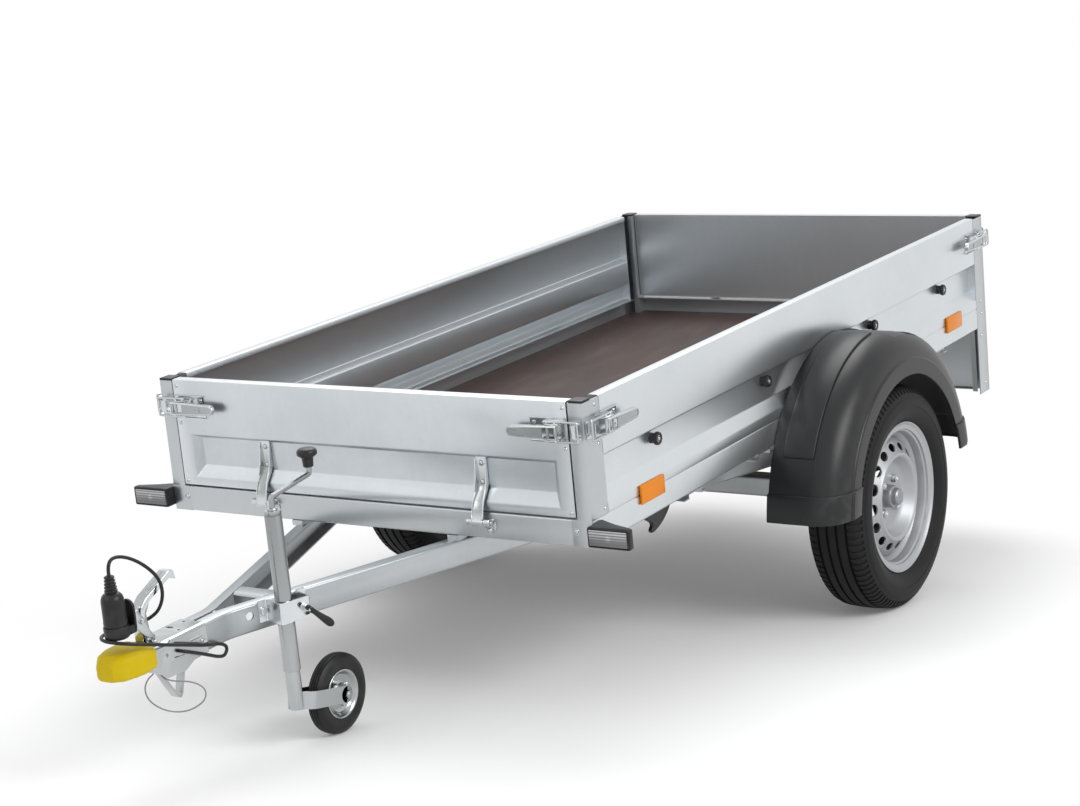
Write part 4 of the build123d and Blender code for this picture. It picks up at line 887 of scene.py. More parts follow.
# %% Corner posts
POST_T = 0.0025
POST_LIP = 0.014
POST_TOP = RIM_Z - 0.003
POST_DROP = 0.184
FOOT_W = 0.05
POST_PLAN = [(HALF_W, POST_SIDE), (HALF_W, 0), (POST_IN, 0), (POST_IN, POST_FACE), (POST_IN + POST_LIP, POST_FACE)]


def post(foot):
    """The folded strip of a front left corner post, standing on foot."""
    strip = sheet([(x, y, foot) for x, y in POST_PLAN], (0, 0, POST_TOP - foot))
    moved(strip, shift(-POST_T / 2, POST_T / 2, 0))
    rounded(strip, 0.0018)
    return walled(strip, POST_T)


front_post = post(RAIL_H)
foot_plate = cuboid((HALF_W - FOOT_W, 0, 0), (HALF_W - 0.0005, POST_T, RAIL_H))
rounded(foot_plate, 0.0006)
joined(front_post, foot_plate)
rear_post = moved(post(-POST_DROP), TO_REAR)
# The corner posts take the darker frame tone, which is partly painted shade on their forward faces.
done(mirrored(front_post), "front_corners", "chassis", FRAME_AND_SHADE, "front_posts")
done(mirrored(rear_post), "rear_corners", "chassis", FRAME_AND_SHADE, "rear_posts")
# %% [markdown]
# ## Road wheels
# The tyre is spun from one section that already has the four round grooves of the tread.  Its shoulders are cut
# into blocks: of the many narrow faces round the shoulder every second one is pushed in along its normal.

# %% Tyre
SHOULDER = (0.04, 0.072)
SHOULDER_R = 0.25
BLOCK_GAP_D = 0.0022
WHEEL = Vector((RIM_FACE_X - RIM_WIDTH / 2, WHEEL_Y, WHEEL_Z))
TREAD_STEPS = 192
GROOVES = (-0.036, -0.012, 0.012, 0.036)
GROOVE_W = 0.0035
GROOVE_D = 0.006


def crown(x):
    """Radius of the tread at a distance from its middle."""
    return TYRE_R - 1.15 * x * x


side_line = [(0.054, 0.166), (0.0565, 0.176), (0.059, 0.184), (0.0605, 0.1855), (0.066, 0.1905), (0.0735, 0.202),
             (0.0775, 0.216), (0.0775, 0.22), (0.0785, 0.2205), (0.078, 0.23), (0.0755, 0.24), (0.0745, 0.2405),
             (0.07, 0.252), (0.064, 0.2615), (0.0575, 0.2675), (0.05, crown(0.05))]
tread_line = []
for groove in reversed(GROOVES):
    tread_line += [(groove + GROOVE_W, crown(groove)), (groove + GROOVE_W - 0.001, crown(groove) - GROOVE_D),
                   (groove - GROOVE_W + 0.001, crown(groove) - GROOVE_D), (groove - GROOVE_W, crown(groove))]
section = side_line + tread_line + [(-x, radius) for x, radius in reversed(side_line)]
left_tyre = turned_x(section, WHEEL, TREAD_STEPS)
edit(left_tyre)
step = 2 * math.pi / TREAD_STEPS


def on_block_gap(at):
    """Every second face round the two shoulders."""
    radius = math.hypot(at.y - WHEEL.y, at.z - WHEEL.z)
    turn = math.atan2(at.z - WHEEL.z, at.y - WHEEL.y) % (2 * step)
    across = abs(at.x - WHEEL.x)
    return turn < step and SHOULDER[0] < across < SHOULDER[1] and radius > SHOULDER_R


pick("FACE", on_block_gap)
bpy.ops.mesh.extrude_region_shrink_fatten(TRANSFORM_OT_shrink_fatten={"value": -BLOCK_GAP_D})
outward()
leave_edit()
both_sides(left_tyre, "road_tyre", "wheel_{}", ("road_tyre", tyre_black), "tyre_{}")
print("tyre:", len(left_tyre.data.polygons), "faces")

# %% [markdown]
# The steel wheel is two turned pieces in one: the barrel with its drop centre and rolled flanges, and the disc
# with its dish and the raised ring round it.  Sixteen vents are cut through the slope outside the ring.

# %% Rim
RIM_R = 0.1825
BEAD_R = 0.165
HUB_FACE = RIM_FACE_X - 0.0425
VENTS = 16
VENT_R = 0.122
VENT_HALF = 0.0098
VENT_LONG = 1.5
barrel_half = RIM_WIDTH / 2
BARREL = [(barrel_half - 0.0005, RIM_R - 0.002), (barrel_half, RIM_R), (barrel_half - 0.004, RIM_R + 0.0005),
          (barrel_half - 0.0055, RIM_R - 0.004), (barrel_half - 0.007, BEAD_R),
          (barrel_half - 0.03, BEAD_R - 0.002), (barrel_half - 0.038, BEAD_R - 0.006), (barrel_half - 0.046, 0.15),
          (-barrel_half + 0.042, 0.15), (-barrel_half + 0.032, BEAD_R - 0.003), (-barrel_half + 0.006, BEAD_R),
          (-barrel_half + 0.004, RIM_R), (-barrel_half, RIM_R), (-barrel_half, BEAD_R - 0.004),
          (-barrel_half + 0.03, BEAD_R - 0.007), (-barrel_half + 0.04, 0.146), (barrel_half - 0.044, 0.146),
          (barrel_half - 0.032, BEAD_R - 0.008), (barrel_half - 0.014, BEAD_R - 0.005),
          (barrel_half - 0.0105, BEAD_R + 0.003), (barrel_half - 0.0045, RIM_R - 0.0055),
          (barrel_half - 0.0005, RIM_R - 0.002)]
DISC = [(0, 0.029), (0, 0.07), (0.003, 0.078), (0.01, 0.085), (0.026, 0.0945), (0.031, 0.098), (0.0335, 0.1025),
        (0.032, 0.107), (0.0275, 0.1105), (0.013, 0.1345), (0.008, 0.138), (-0.004, 0.1475)]
DISC_T = 0.004
barrel = turned_x(BARREL, WHEEL, 96)
disc_outer = [(x + HUB_FACE - WHEEL.x, radius) for x, radius in DISC]
disc_inner = [(x - DISC_T, radius) for x, radius in reversed(disc_outer)]
disc = turned_x(disc_outer + disc_inner + disc_outer[:1], WHEEL, 96)
vent = pin_x(0.05, VENT_HALF, (0, 0, 0), 20)
moved(vent, shift(0, VENT_R, 0) @ Matrix.Scale(VENT_LONG, 4, UP))
holed(disc, ring_of(vent, VENTS, 0, (HUB_FACE, WHEEL_Y, WHEEL_Z)))
left_rim = joined(barrel, disc)
rounded(left_rim, 0.0008, 2, 35)
both_sides(left_rim, "steel_wheel", "wheel_{}", ("silver_rim", rim_silver), "rim_{}")
print("rim:", len(left_rim.data.polygons), "faces")

# %% [markdown]
# ## Mudguards
# A mudguard is a thin vacuum-formed shell: one section spun over half a turn and cut off level.  A long band on
# its front slope stands a little proud, the crown is lower behind its middle, and both feet are thicker.  The
# band and the saddle are given by the degrees from the top of the wheel that they run to.

# %% Mudguard
GUARD_R = 0.403
GUARD_T = 0.004
GUARD_FOOT = -0.165
GUARD_OUT = HALF_W + 0.1835
FOOT_TOP = -0.104
GUARD_STEPS = 90
BAND_X = (HALF_W + 0.034, HALF_W + 0.108)
BAND_FROM = 2
BAND_TO = 62
SADDLE_TO = 24
guard_line = [(HALF_W + 0.002, GUARD_R), (HALF_W + 0.033, GUARD_R + 0.0005), (HALF_W + 0.036, GUARD_R + 0.001),
              (HALF_W + 0.107, GUARD_R + 0.001), (HALF_W + 0.11, GUARD_R + 0.001),
              (GUARD_OUT - 0.058, GUARD_R - 0.001), (GUARD_OUT - 0.044, GUARD_R - 0.005),
              (GUARD_OUT - 0.031, GUARD_R - 0.0115), (GUARD_OUT - 0.02, GUARD_R - 0.0215),
              (GUARD_OUT - 0.012, GUARD_R - 0.035), (GUARD_OUT - 0.007, GUARD_R - 0.048),
              (GUARD_OUT - 0.004, GUARD_R - 0.063), (GUARD_OUT - 0.001, GUARD_R - 0.065),
              (GUARD_OUT, GUARD_R - 0.067), (GUARD_OUT, GUARD_R - 0.103)]
axle_at = Vector((0, WHEEL_Y, WHEEL_Z))


def crown_angle(at):
    """Degrees from the top of the wheel, forwards or backwards."""
    return math.degrees(math.atan2(abs(at.y - WHEEL_Y), at.z - WHEEL_Z))


def swell(test, height):
    """Select faces by their place and raise them along their normals."""
    pick("FACE", test)
    bpy.ops.mesh.extrude_region_shrink_fatten(TRANSFORM_OT_shrink_fatten={"value": height})


pulled([(x, WHEEL_Y - radius, WHEEL_Z) for x, radius in guard_line])
bpy.ops.mesh.spin(steps=GUARD_STEPS, angle=math.pi, center=axle_at, axis=LEFT)
bpy.ops.mesh.select_all(action="SELECT")
bpy.ops.mesh.bisect(plane_co=(0, 0, GUARD_FOOT), plane_no=UP, clear_inner=True)
cut([((0, 0, FOOT_TOP), UP)])
outward()
swell(lambda at: BAND_X[0] < at.x < BAND_X[1] and at.y < WHEEL_Y and BAND_FROM < crown_angle(at) < BAND_TO, 0.005)
swell(lambda at: at.z < FOOT_TOP, 0.0045)
swell(lambda at: at.y > WHEEL_Y + 0.012 and crown_angle(at) < SADDLE_TO and at.x < GUARD_OUT - 0.026, -0.006)
outward()
left_guard = leave_edit()
rounded(left_guard, 0.0026, 3, 20)
walled(left_guard, GUARD_T)
both_sides(left_guard, "guard", "chassis", ("black_plastic", guard_black), "mudguard_{}")
print("mudguard:", len(left_guard.data.polygons), "faces")

# %% [markdown]
# In the dish of each wheel sit the hub, its pressed dust cap and four wheel bolts.  A thin black plate behind the
# disc is painted shade: it stands for the dark inside of the wheel and darkens the vents.

# %% Hubs
BOLT_R = 0.049
hub_line = [(-0.006, 0), (-0.0065, 0.01), (-0.008, 0.0175), (-0.012, 0.0205), (-0.021, 0.0212), (-0.0225, 0.0215),
            (-0.023, 0.0262), (-0.025, 0.0275), (-0.036, 0.028), (-0.0425, 0.0284), (-0.0427, 0.0284),
            (-0.0427, 0.058), (-0.056, 0.0595), (-0.058, 0.055), (-0.06, 0)]
left_hub = turned_x(hub_line, (RIM_FACE_X, WHEEL_Y, WHEEL_Z), 48)
rounded(left_hub, 0.0008, 2, 35)
wheel_bolt = hexagon(0.017, 0.01, 0, UP, (0, 0, 0))
joined(wheel_bolt, turned_z([(0, 0.0125), (0.005, 0.0125), (0.0062, 0.0105), (0.0062, 0.005)], (0, 0, 0), 24),
       turned_z([(0.0085, 0.0062), (0.0102, 0.0035), (0.0105, -0.003), (0.007, -0.0032)], (0, 0, 0), 32))
turned_to(wheel_bolt, LEFT)
moved(wheel_bolt, shift(0, BOLT_R, 0))
left_bolts = ring_of(wheel_bolt, 4, 45, (HUB_FACE + 0.0015, WHEEL_Y, WHEEL_Z))
both_sides(left_hub, "hub_cap", "wheel_{}", ("cast_hub", hub_grey), "hub_{}")
both_sides(left_bolts, "wheel_bolts", "wheel_{}", PLATED)
# A black plate put behind the vents as painted shade for the inside of the wheel.
shade_plate_line = [(-0.068, 0.06), (-0.0665, 0.06), (-0.0655, 0.141), (-0.062, 0.143), (-0.0635, 0.144),
               (-0.067, 0.1425), (-0.068, 0.06)]
both_sides(turned_x(shade_plate_line, (RIM_FACE_X, WHEEL_Y, WHEEL_Z), 64), "vent_shade_plate", "wheel_{}", BLACK)
# %% [markdown]
# ## Rivets and round bolts
# Small round heads are turned once about the z direction, turned again to face out of their surface, and copied
# to every place that has one.

# %% Heads
RIVET = [(0, 0.0026), (0.0021, 0.0023), (0.0038, 0.0013), (0.0045, 0), (0.0045, -0.001)]
DOME = [(0, 0.0042), (0.0022, 0.0038), (0.0042, 0.0027), (0.0053, 0.0012), (0.0055, 0.0008), (0.0078, 0.0007),
        (0.008, 0), (0.008, -0.001)]
RIVET_X = 0.514
gate_rivets = [(side * RIVET_X, 0, z) for side in (-1, 1) for z in (0.293, 0.207, 0.071)]
front_rivets = heads(RIVET, -REAR, gate_rivets)
back_rivets = copied(front_rivets, TO_REAR)
post_rivets = heads(RIVET, LEFT, [(HALF_W, 0.047, 0.292), (HALF_W, 0.05, 0.209), (HALF_W, 0.054, 0.07),
                                  (HALF_W, BODY_L - 0.033, 0.073), (HALF_W, BODY_L - 0.03, 0.039),
                                  (HALF_W, BODY_L - 0.038, -0.022), (HALF_W, BODY_L - 0.027, -0.158)])
mirrored(post_rivets)
rail_bolts = heads(DOME, -REAR, [(side * 0.523, 0, 0.033) for side in (-1, 1)])
done(front_rivets, "front_flap_rivets", "front_gate", PLATED)
done(back_rivets, "rear_flap_rivets", "tailgate", PLATED)
done(post_rivets, "corner_rivets", "chassis", PLATED)
done(rail_bolts, "rail_bolts", "chassis", PLATED)

# %% [markdown]
# ## Rails, caps and lamp board
# The rails and the lamp board are folded like the posts: the middle line of the sheet is drawn out, the folds are
# rounded, and the sheet gets its thickness.

# %% Folded rails
RAIL_FLANGE = 0.038
RAIL_T = 0.0025


def channel(points, run, thickness, bend=0.003):
    """A folded section: the middle line of its sheet drawn out by run."""
    strip = sheet(points, run)
    rounded(strip, bend, 3)
    return walled(strip, thickness)


skin_z = RAIL_T / 2
rail_line = [(RAIL_FLANGE, skin_z), (skin_z, skin_z), (skin_z, RAIL_H - skin_z), (RAIL_FLANGE, RAIL_H - skin_z)]
side_rail = channel([(HALF_W - inward, POST_T, z) for inward, z in rail_line], (0, BODY_L - POST_SIDE - POST_T, 0),
                    RAIL_T, 0.004)
mirrored(side_rail)
front_half = HALF_W - FOOT_W
end_rail = channel([(-front_half, inward, z) for inward, z in rail_line], (2 * front_half, 0, 0), RAIL_T)
back_rail = moved(channel([(-POST_IN, inward, z) for inward, z in rail_line], (2 * POST_IN, 0, 0), RAIL_T), TO_REAR)
# The side rails take the brighter sheet tone.  The end rails are the same steel but take the darker frame tone as
# painted shade, because they face forwards.
done(side_rail, "side_frame_rails", "chassis", FOLDED, "side_rails")
done(joined(end_rail, back_rail), "end_frame_rails", "chassis", FRAME_AND_SHADE, "end_rails")

# %% Post caps
cap = cuboid((POST_IN, 0, POST_TOP), (HALF_W, POST_FACE, POST_TOP + 0.005))
rounded(cap, 0.0022, 3)
done(four_corners(cap), "corner_caps", "chassis", BLACK, "post_caps")

# %% Lamp board
BOARD_T = 0.002
BOARD_Y = BODY_L - 0.02
BOARD_LOW = -POST_DROP + 0.006
board_skin = BOARD_T / 2
board = channel([(-POST_IN, BOARD_Y - ahead, height + board_skin) for ahead, height in ((0.022, 0), (board_skin, 0),
                 (board_skin, BOARD_LOW), (0.018, BOARD_LOW))], (2 * POST_IN, 0, 0), BOARD_T)
done(board, "lamp_board", "chassis", FOLDED, "light_board")

# %% [markdown]
# ## Over-centre latches
# A latch has a base plate with raised lips, two cheeks with a pivot pin, a tapered channel lever and a wire bail
# that reaches over a tab on the post.  The lever is a flat outline whose border is drawn back into side walls; two
# windows are cut in its root and a shallow thumb recess is pressed into its tip.

# %% One latch
LATCH_Z = 0.247
BASE_LONG = 0.084
BASE_HALF = 0.0265
LEVER_LONG = 0.122
LEVER_FACE = -0.029
LEVER_SIDE = 0.009
ROOT_HALF = 0.015
TIP_HALF = 0.0108
BAIL_HALF = 0.0205
BAIL_Y = -0.017
BAIL_REACH = 0.033
WINDOW_X = 0.0065
WINDOW_Z = 0.011
ROUND_STEPS = 10
THUMB_HALF = 0.006
latch_end = POST_IN - 0.004
base_end = latch_end - 0.005
root_x = base_end - 0.006
tip_x = root_x - LEVER_LONG


def round_end(x, half):
    """The half circle that closes an outline towards -x, from top to bottom."""
    turns = [math.pi / 2 + math.pi * number / ROUND_STEPS for number in range(ROUND_STEPS + 1)]
    return [(x + half + half * math.cos(turn), half * math.sin(turn)) for turn in turns]


outline = [(root_x, -ROOT_HALF), (root_x, ROOT_HALF)] + round_end(tip_x, TIP_HALF)
pulled([(x, LEVER_FACE, LATCH_Z + z) for x, z in outline], closed=True)
pick("EDGE", lambda at, run: at.x < root_x - 1e-5)
push((0, LEVER_SIDE, 0))
outward()
lever = rounded(leave_edit(), 0.0024, 3, 40)
walled(lever, 0.0016)
windows = [cuboid((root_x - at - WINDOW_X, LEVER_FACE - 0.01, LATCH_Z - WINDOW_Z), (root_x - at + WINDOW_X,
                  LEVER_FACE + 0.01, LATCH_Z + WINDOW_Z)) for at in (0.01, 0.0275)]
thumb = [(2 * tip_x + 0.038 - x, z) for x, z in round_end(tip_x, THUMB_HALF)]
recess = block([(x, LEVER_FACE - 0.01, LATCH_Z + z) for x, z in round_end(tip_x + 0.004, THUMB_HALF) + thumb[::-1]],
               (0, 0.0101, 0))
holed(lever, *windows, recess)
base = channel([(base_end - BASE_LONG, y, LATCH_Z + side * (BASE_HALF - 0.001)) for y, side in
                ((-0.0075, -1), (-0.0009, -1), (-0.0009, 1), (-0.0075, 1))], (BASE_LONG, 0, 0), 0.0016, 0.0012)
cheek = block([(base_end - x, -y, LATCH_Z + 0.0155) for x, y in ((0.002, 0.001), (0.002, 0.012), (0.008, 0.0235),
               (0.02, 0.027), (0.034, 0.026), (0.048, 0.014), (0.054, 0.001))], (0, 0, 0.0022))
rounded(cheek, 0.0004)
joined(cheek, copied(cheek, shift(0, 0, 2 * LATCH_Z) @ UPSIDE_DOWN))
pins = heads([(0, 0.0215), (0.0026, 0.0215), (0.0032, 0.0207), (0.0032, -0.0207), (0.0026, -0.0215), (0, -0.0215)],
             UP, [(base_end - 0.014, BAIL_Y - 0.002, LATCH_Z), (base_end - 0.034, BAIL_Y, LATCH_Z)])
bail = rod([(latch_end + along, BAIL_Y, LATCH_Z + side * BAIL_HALF) for along, side in ((-0.046, -1),
            (BAIL_REACH, -1), (BAIL_REACH, 1), (-0.046, 1))], 0.005)
base_rivets = heads(RIVET, -REAR, [(base_end - 0.074, -0.0018, LATCH_Z + side * 0.015) for side in (-1, 1)])
latch = joined(lever, base, cheek, pins, bail, base_rivets)

# %% Latches all round
SIDE_LATCH_Y = 0.038
ROUND_CORNER = Matrix(((0, -1, 0, HALF_W), (-1, 0, 0, HALF_W), (0, 0, 1, 0), (0, 0, 0, 1)))
ONTO_SIDE = ROUND_CORNER @ shift(HALF_W - SIDE_LATCH_Y - latch_end, 0, 0)
side_set = four_corners(copied(latch, ONTO_SIDE))
mirrored(latch)
back_latch = copied(latch, TO_REAR)
done(latch, "front_flap_latches", "front_gate", PLATED, "front_gate_latches")
done(back_latch, "rear_flap_latches", "tailgate", PLATED, "tailgate_latches")
done(side_set, "corner_latches", "chassis", PLATED, "side_latches")
print("latch:", len(latch.data.polygons), "faces a pair")

# %% [markdown]
# The tab that a bail hooks over is a small bent plate on the post, one on each face of each post.

# %% Latch tabs
tab_x = latch_end + BAIL_REACH - 0.005
tab_plate = rounded(cuboid((tab_x - 0.022, -0.0022, LATCH_Z - 0.019), (tab_x + 0.0035, -0.0004, LATCH_Z + 0.019)),
                    0.0006)
front_tab = channel([(tab_x + x, y, LATCH_Z - 0.0135) for x, y in ((-0.016, -0.0022), (-0.012, -0.014),
                     (-0.001, -0.015), (0.0008, -0.0215))], (0, 0, 0.027), 0.002, 0.002)
tab_rivets = heads(RIVET, -REAR, [(tab_x - 0.0185, -0.002, LATCH_Z + side * 0.014) for side in (-1, 1)])
joined(front_tab, tab_plate, tab_rivets)
joined(front_tab, copied(front_tab, ONTO_SIDE))
done(four_corners(front_tab), "bail_tabs", "chassis", PLATED, "latch_tabs")

# %% [markdown]
# ## Gate hinges
# Each gate hangs on two straps.  A strap is a pressed channel: its floor is drawn from point to point, its two
# borders are pulled forwards into walls, and the floor comes forward below until it meets their edges.  The pin
# runs through it and through a knuckle on either side, which a plate with a round ear holds to the rail.

# %% Straps
STRAP_PLACES = [(-0.29, 0, 0), (0.29, 0, 0)]
STRAP_HALF = 0.0125
STRAP_WALL = 0.03
PIN = Vector((0, -0.012, 0.039))
KNUCKLE_R = 0.0085
strap_floor = [(0.0195, 0.169), (0.0195, 0.115), (0.012, 0.1), (-0.003, 0.082), (-0.0115, 0.062), (-0.018, 0.044)]
strap_edge = [(0.015, 0.169), (0.009, 0.125), (0.002, 0.104), (-0.009, 0.082), (-0.0145, 0.062), (-0.0185, 0.044)]
strap = sheet([(-STRAP_HALF, y, z) for y, z in strap_floor], (2 * STRAP_HALF, 0, 0))
edit(strap)
pick("EDGE", lambda at, run: abs(abs(at.x) - STRAP_HALF) < 1e-5 and abs(run.x) < 1e-5)
push((0, -STRAP_WALL, 0))
leave_edit()
for (floor_y, z), (edge_y, edge_z) in zip(strap_floor, strap_edge):
    for vertex in strap.data.vertices:
        if abs(vertex.co.y - (floor_y - STRAP_WALL)) < 1e-5 and abs(vertex.co.z - z) < 1e-5:
            vertex.co.y, vertex.co.z = edge_y, edge_z
            vertex.co.x *= 1.08
rounded(strap, 0.003, 3, 30)
walled(strap, 0.0026)
strap_top = turned([(0, 0.0205, 0.169), (0.0125, 0.0205, 0.169), (0.0125, 0.0172, 0.169), (0, 0.0172, 0.169)],
                   (0, 0.019, 0.169), REAR, 32)
strap_eye = turned_x([(-0.0138, 0), (-0.0138, KNUCKLE_R - 0.001), (-0.0128, KNUCKLE_R), (0.0128, KNUCKLE_R),
                      (0.0138, KNUCKLE_R - 0.001), (0.0138, 0)], PIN, 32)
strap_bolts = heads(DOME, -REAR, [(0, 0.018, 0.16), (0, 0.0175, 0.118)])
strap_body = joined(strap, strap_top, strap_eye)
strap_set = spread(joined(strap_body, strap_bolts), STRAP_PLACES)
back_straps = copied(strap_set, TO_REAR)
done(strap_set, "front_flap_straps", "front_gate", PLATED, "front_gate_straps")
done(back_straps, "rear_flap_straps", "tailgate", PLATED, "tailgate_straps")

# %% Hinge feet
GAP = 0.0146
knuckle = [(0, 0.0038), (0, KNUCKLE_R - 0.001), (0.001, KNUCKLE_R), (0.0135, KNUCKLE_R),
           (0.0145, KNUCKLE_R - 0.001), (0.0145, 0.0038)]
near_knuckle, far_knuckle = [turned_x([(side * (GAP + x), radius * thick) for x, radius in knuckle], PIN, 32)
                             for side, thick in ((1, 1), (-1, 0.86))]
hinge_pin = turned_x([(-0.033, 0), (-0.0325, 0.003), (-0.0315, 0.0038), (0.0315, 0.0038), (0.0325, 0.003),
                      (0.033, 0)], PIN, 24)
web = cuboid((0.0152, PIN.y, PIN.z - 0.006), (0.0284, -0.001, PIN.z + 0.006))
backing = cuboid((-0.031, -0.0024, 0.025), (0.031, -0.0004, 0.045))
ear = turned([(0.022, -0.0026, 0.029), (0.037, -0.0026, 0.029), (0.037, -0.0004, 0.029), (0.022, -0.0004, 0.029)],
             (0.022, 0, 0.029), REAR, 48)
ear_bolt = heads(DOME, -REAR, [(0.019, -0.0024, 0.019)])
foot = joined(rounded(joined(backing, mirrored(web)), 0.0006), near_knuckle, far_knuckle, hinge_pin,
              rounded(ear, 0.0006), ear_bolt)
front_feet = spread(foot, STRAP_PLACES)
done(joined(front_feet, copied(front_feet, TO_REAR)), "hinge_knuckles", "chassis", PLATED, "hinge_feet")
print("hinges:", len(strap_set.data.polygons), "faces on one gate")

# %% [markdown]
# ## Knobs, reflectors, lamps and hooks
# The rope knobs are turned plastic mushrooms with a metal ring and a bolt in the middle.  A marker lamp is a dark
# wedge that stands out of the corner and frames a clear lens.  The rear lamps have one red and one amber field.

# %% Rope knobs
knob_place = [(0, y, 0.154) for y in (0.294, 0.807, BODY_L - 0.707, BODY_L - 0.274)]
knob_face = HALF_W - RIB["depth"]


def knob_ring(profile):
    """One turned part of a knob, at every place on both sides."""
    ring = turned_to(turned_z(profile, (0, 0, 0), 32), LEFT)
    moved(ring, shift(knob_face, 0, 0))
    return mirrored(spread(ring, knob_place))


knob = knob_ring([(0.0118, -0.001), (0.0112, 0.0075), (0.0116, 0.0095), (0.0138, 0.0112), (0.0146, 0.0128),
                  (0.0146, 0.0168), (0.0134, 0.0192), (0.011, 0.0202), (0.0082, 0.0202), (0.0072, 0.0182),
                  (0.0, 0.018)])
knob_washer = knob_ring([(0.007, 0.0178), (0.007, 0.0187), (0.0056, 0.019), (0.0052, 0.0182)])
knob_bolt = knob_ring([(0.0036, 0.018), (0.0036, 0.0198), (0.0026, 0.0205), (0.0012, 0.0199), (0, 0.0198)])
done(knob, "side_knobs", "chassis", BLACK, "rope_knobs")
done(joined(knob_washer, knob_bolt), "knob_bolts", "chassis", PLATED)

# %% Reflectors
reflector = rounded(cuboid((HALF_W + 0.0005, -0.049, 0.037), (HALF_W + 0.0068, 0.049, 0.079)), 0.0022, 3)
reflectors = spread(reflector, [(0, 0.24, 0), (0, BODY_L - 0.233, 0)])
done(mirrored(reflectors), "amber_plates", "chassis", AMBER, "side_reflectors")

# %% Marker lamps
MARKER_OUT = HALF_W + 0.1
MARKER_LOW = 0.01
MARKER_TOP = 0.054
housing = block([(HALF_W + 0.0005, -0.027, MARKER_LOW), (MARKER_OUT, -0.027, MARKER_LOW),
                 (MARKER_OUT, -0.009, MARKER_LOW), (HALF_W + 0.05, 0.009, MARKER_LOW),
                 (HALF_W + 0.0005, 0.035, MARKER_LOW)], (0, 0, MARKER_TOP - MARKER_LOW))
rounded(housing, 0.0045, 3)
holed(housing, cuboid((HALF_W + 0.003, -0.04, MARKER_LOW + 0.0035),
                      (MARKER_OUT - 0.004, -0.0235, MARKER_TOP - 0.0035)))
window = rounded(cuboid((HALF_W + 0.0048, -0.0278, MARKER_LOW + 0.0053),
                        (MARKER_OUT - 0.0058, -0.023, MARKER_TOP - 0.0053)), 0.0015)
bulb = Vector((HALF_W + 0.05, 0, 0.032))
bulb_ring = turned([(bulb.x + out, y, bulb.z) for out, y in ((0, -0.0288), (0.006, -0.0284), (0.0075, -0.0276))],
                   bulb, REAR, 24)
joined(window, bulb_ring)
done(mirrored(housing), "marker_cases", "chassis", BLACK, "marker_housings")
done(mirrored(window), "marker_windows", "chassis", ("clear_plastic", clear_lens), "marker_lenses")

# %% Rear lamps
LAMP_X = (POST_IN - 0.164, POST_IN - 0.014)
LAMP_Z = (BOARD_LOW / 2 - 0.052, BOARD_LOW / 2 + 0.052)
LAMP_SPLIT = LAMP_X[0] + 0.096
LENS_INSET = 0.003
lamp_case = rounded(cuboid((LAMP_X[0], BOARD_Y + 0.0002, LAMP_Z[0]), (LAMP_X[1], BOARD_Y + 0.018, LAMP_Z[1])),
                    0.008, 3)
fields = ((LAMP_X[0] + LENS_INSET, LAMP_SPLIT), (LAMP_SPLIT + 0.001, LAMP_X[1] - LENS_INSET))
red_part, turn_part = [rounded(cuboid((low, BOARD_Y + 0.014, LAMP_Z[0] + LENS_INSET),
                                      (high, BOARD_Y + 0.044, LAMP_Z[1] - LENS_INSET)), 0.009, 3) for low,
                       high in fields]
done(mirrored(lamp_case), "rear_lamp_cases", "chassis", BLACK)
done(mirrored(red_part), "rear_lamp_red", "chassis", ("red_plastic", red_lens), "rear_lamps")
done(mirrored(turn_part), "rear_lamp_turn", "chassis", AMBER)

# %% Rail hooks
HOOK_AT = 0.372
hook_line = [(0, -0.0005), (-0.01, -0.012), (-0.022, -0.023), (-0.034, -0.032), (-0.05, -0.041), (-0.068, -0.048),
             (-0.083, -0.052), (-0.096, -0.053), (-0.098, -0.046), (-0.09, -0.038), (-0.092, -0.032),
             (-0.101, -0.026), (-0.113, -0.019), (-0.128, -0.01), (-0.147, -0.0005)]
hook = block([(HALF_W - 0.0375, HOOK_AT + y, z) for y, z in hook_line], (0.011, 0, 0))
rounded(hook, 0.0028, 3, 50)
done(mirrored(hook), "rope_hooks", "chassis", BLACK, "rail_hooks")
# %% [markdown]
# ## Drawbar
# Two channels run together in the coupling, bend outwards and pass under the body.  Each is one section pulled
# along its path.  A folded brace joins them behind the bend.

# %% Arms and brace
ARM_TOP = -0.012
ARM_LOW = -0.07
ARM_NOSE = 0.032
ARM_FLANGE = 0.028
ARM_T = 0.003
ARM_TIP_Y = -0.735
BEND_Y = -0.529
BEND_HALF = 0.012
ARM_SPREAD = 0.35
ARM_TAIL_Y = WHEEL_Y - 0.147 - 0.075 - 0.02


def arm_x(y):
    """Outer face of the left arm at a place along the trailer."""
    return ARM_NOSE + max(0.0, y - BEND_Y) * ARM_SPREAD


skin_x = ARM_NOSE - ARM_T / 2
flange_x = ARM_NOSE - ARM_FLANGE
skin_top = ARM_TOP - ARM_T / 2
skin_low = ARM_LOW + ARM_T / 2
pulled([(flange_x, ARM_TIP_Y, skin_top), (skin_x, ARM_TIP_Y, skin_top), (skin_x, ARM_TIP_Y, skin_low),
        (flange_x, ARM_TIP_Y, skin_low)])
push((0, BEND_Y - BEND_HALF - ARM_TIP_Y, 0))
push((BEND_HALF * ARM_SPREAD, 2 * BEND_HALF, 0))
push((arm_x(ARM_TAIL_Y) - arm_x(BEND_Y + BEND_HALF), ARM_TAIL_Y - BEND_Y - BEND_HALF, 0))
outward()
arm = walled(rounded(leave_edit(), 0.004, 3), ARM_T)
holed(arm, pin_x(0.02, 0.0085, (arm_x(-0.484), -0.484, -0.035), 32))
both_sides(arm, "drawbar_arm", "chassis", FRAME_AND_SHADE, "drawbar_{}")

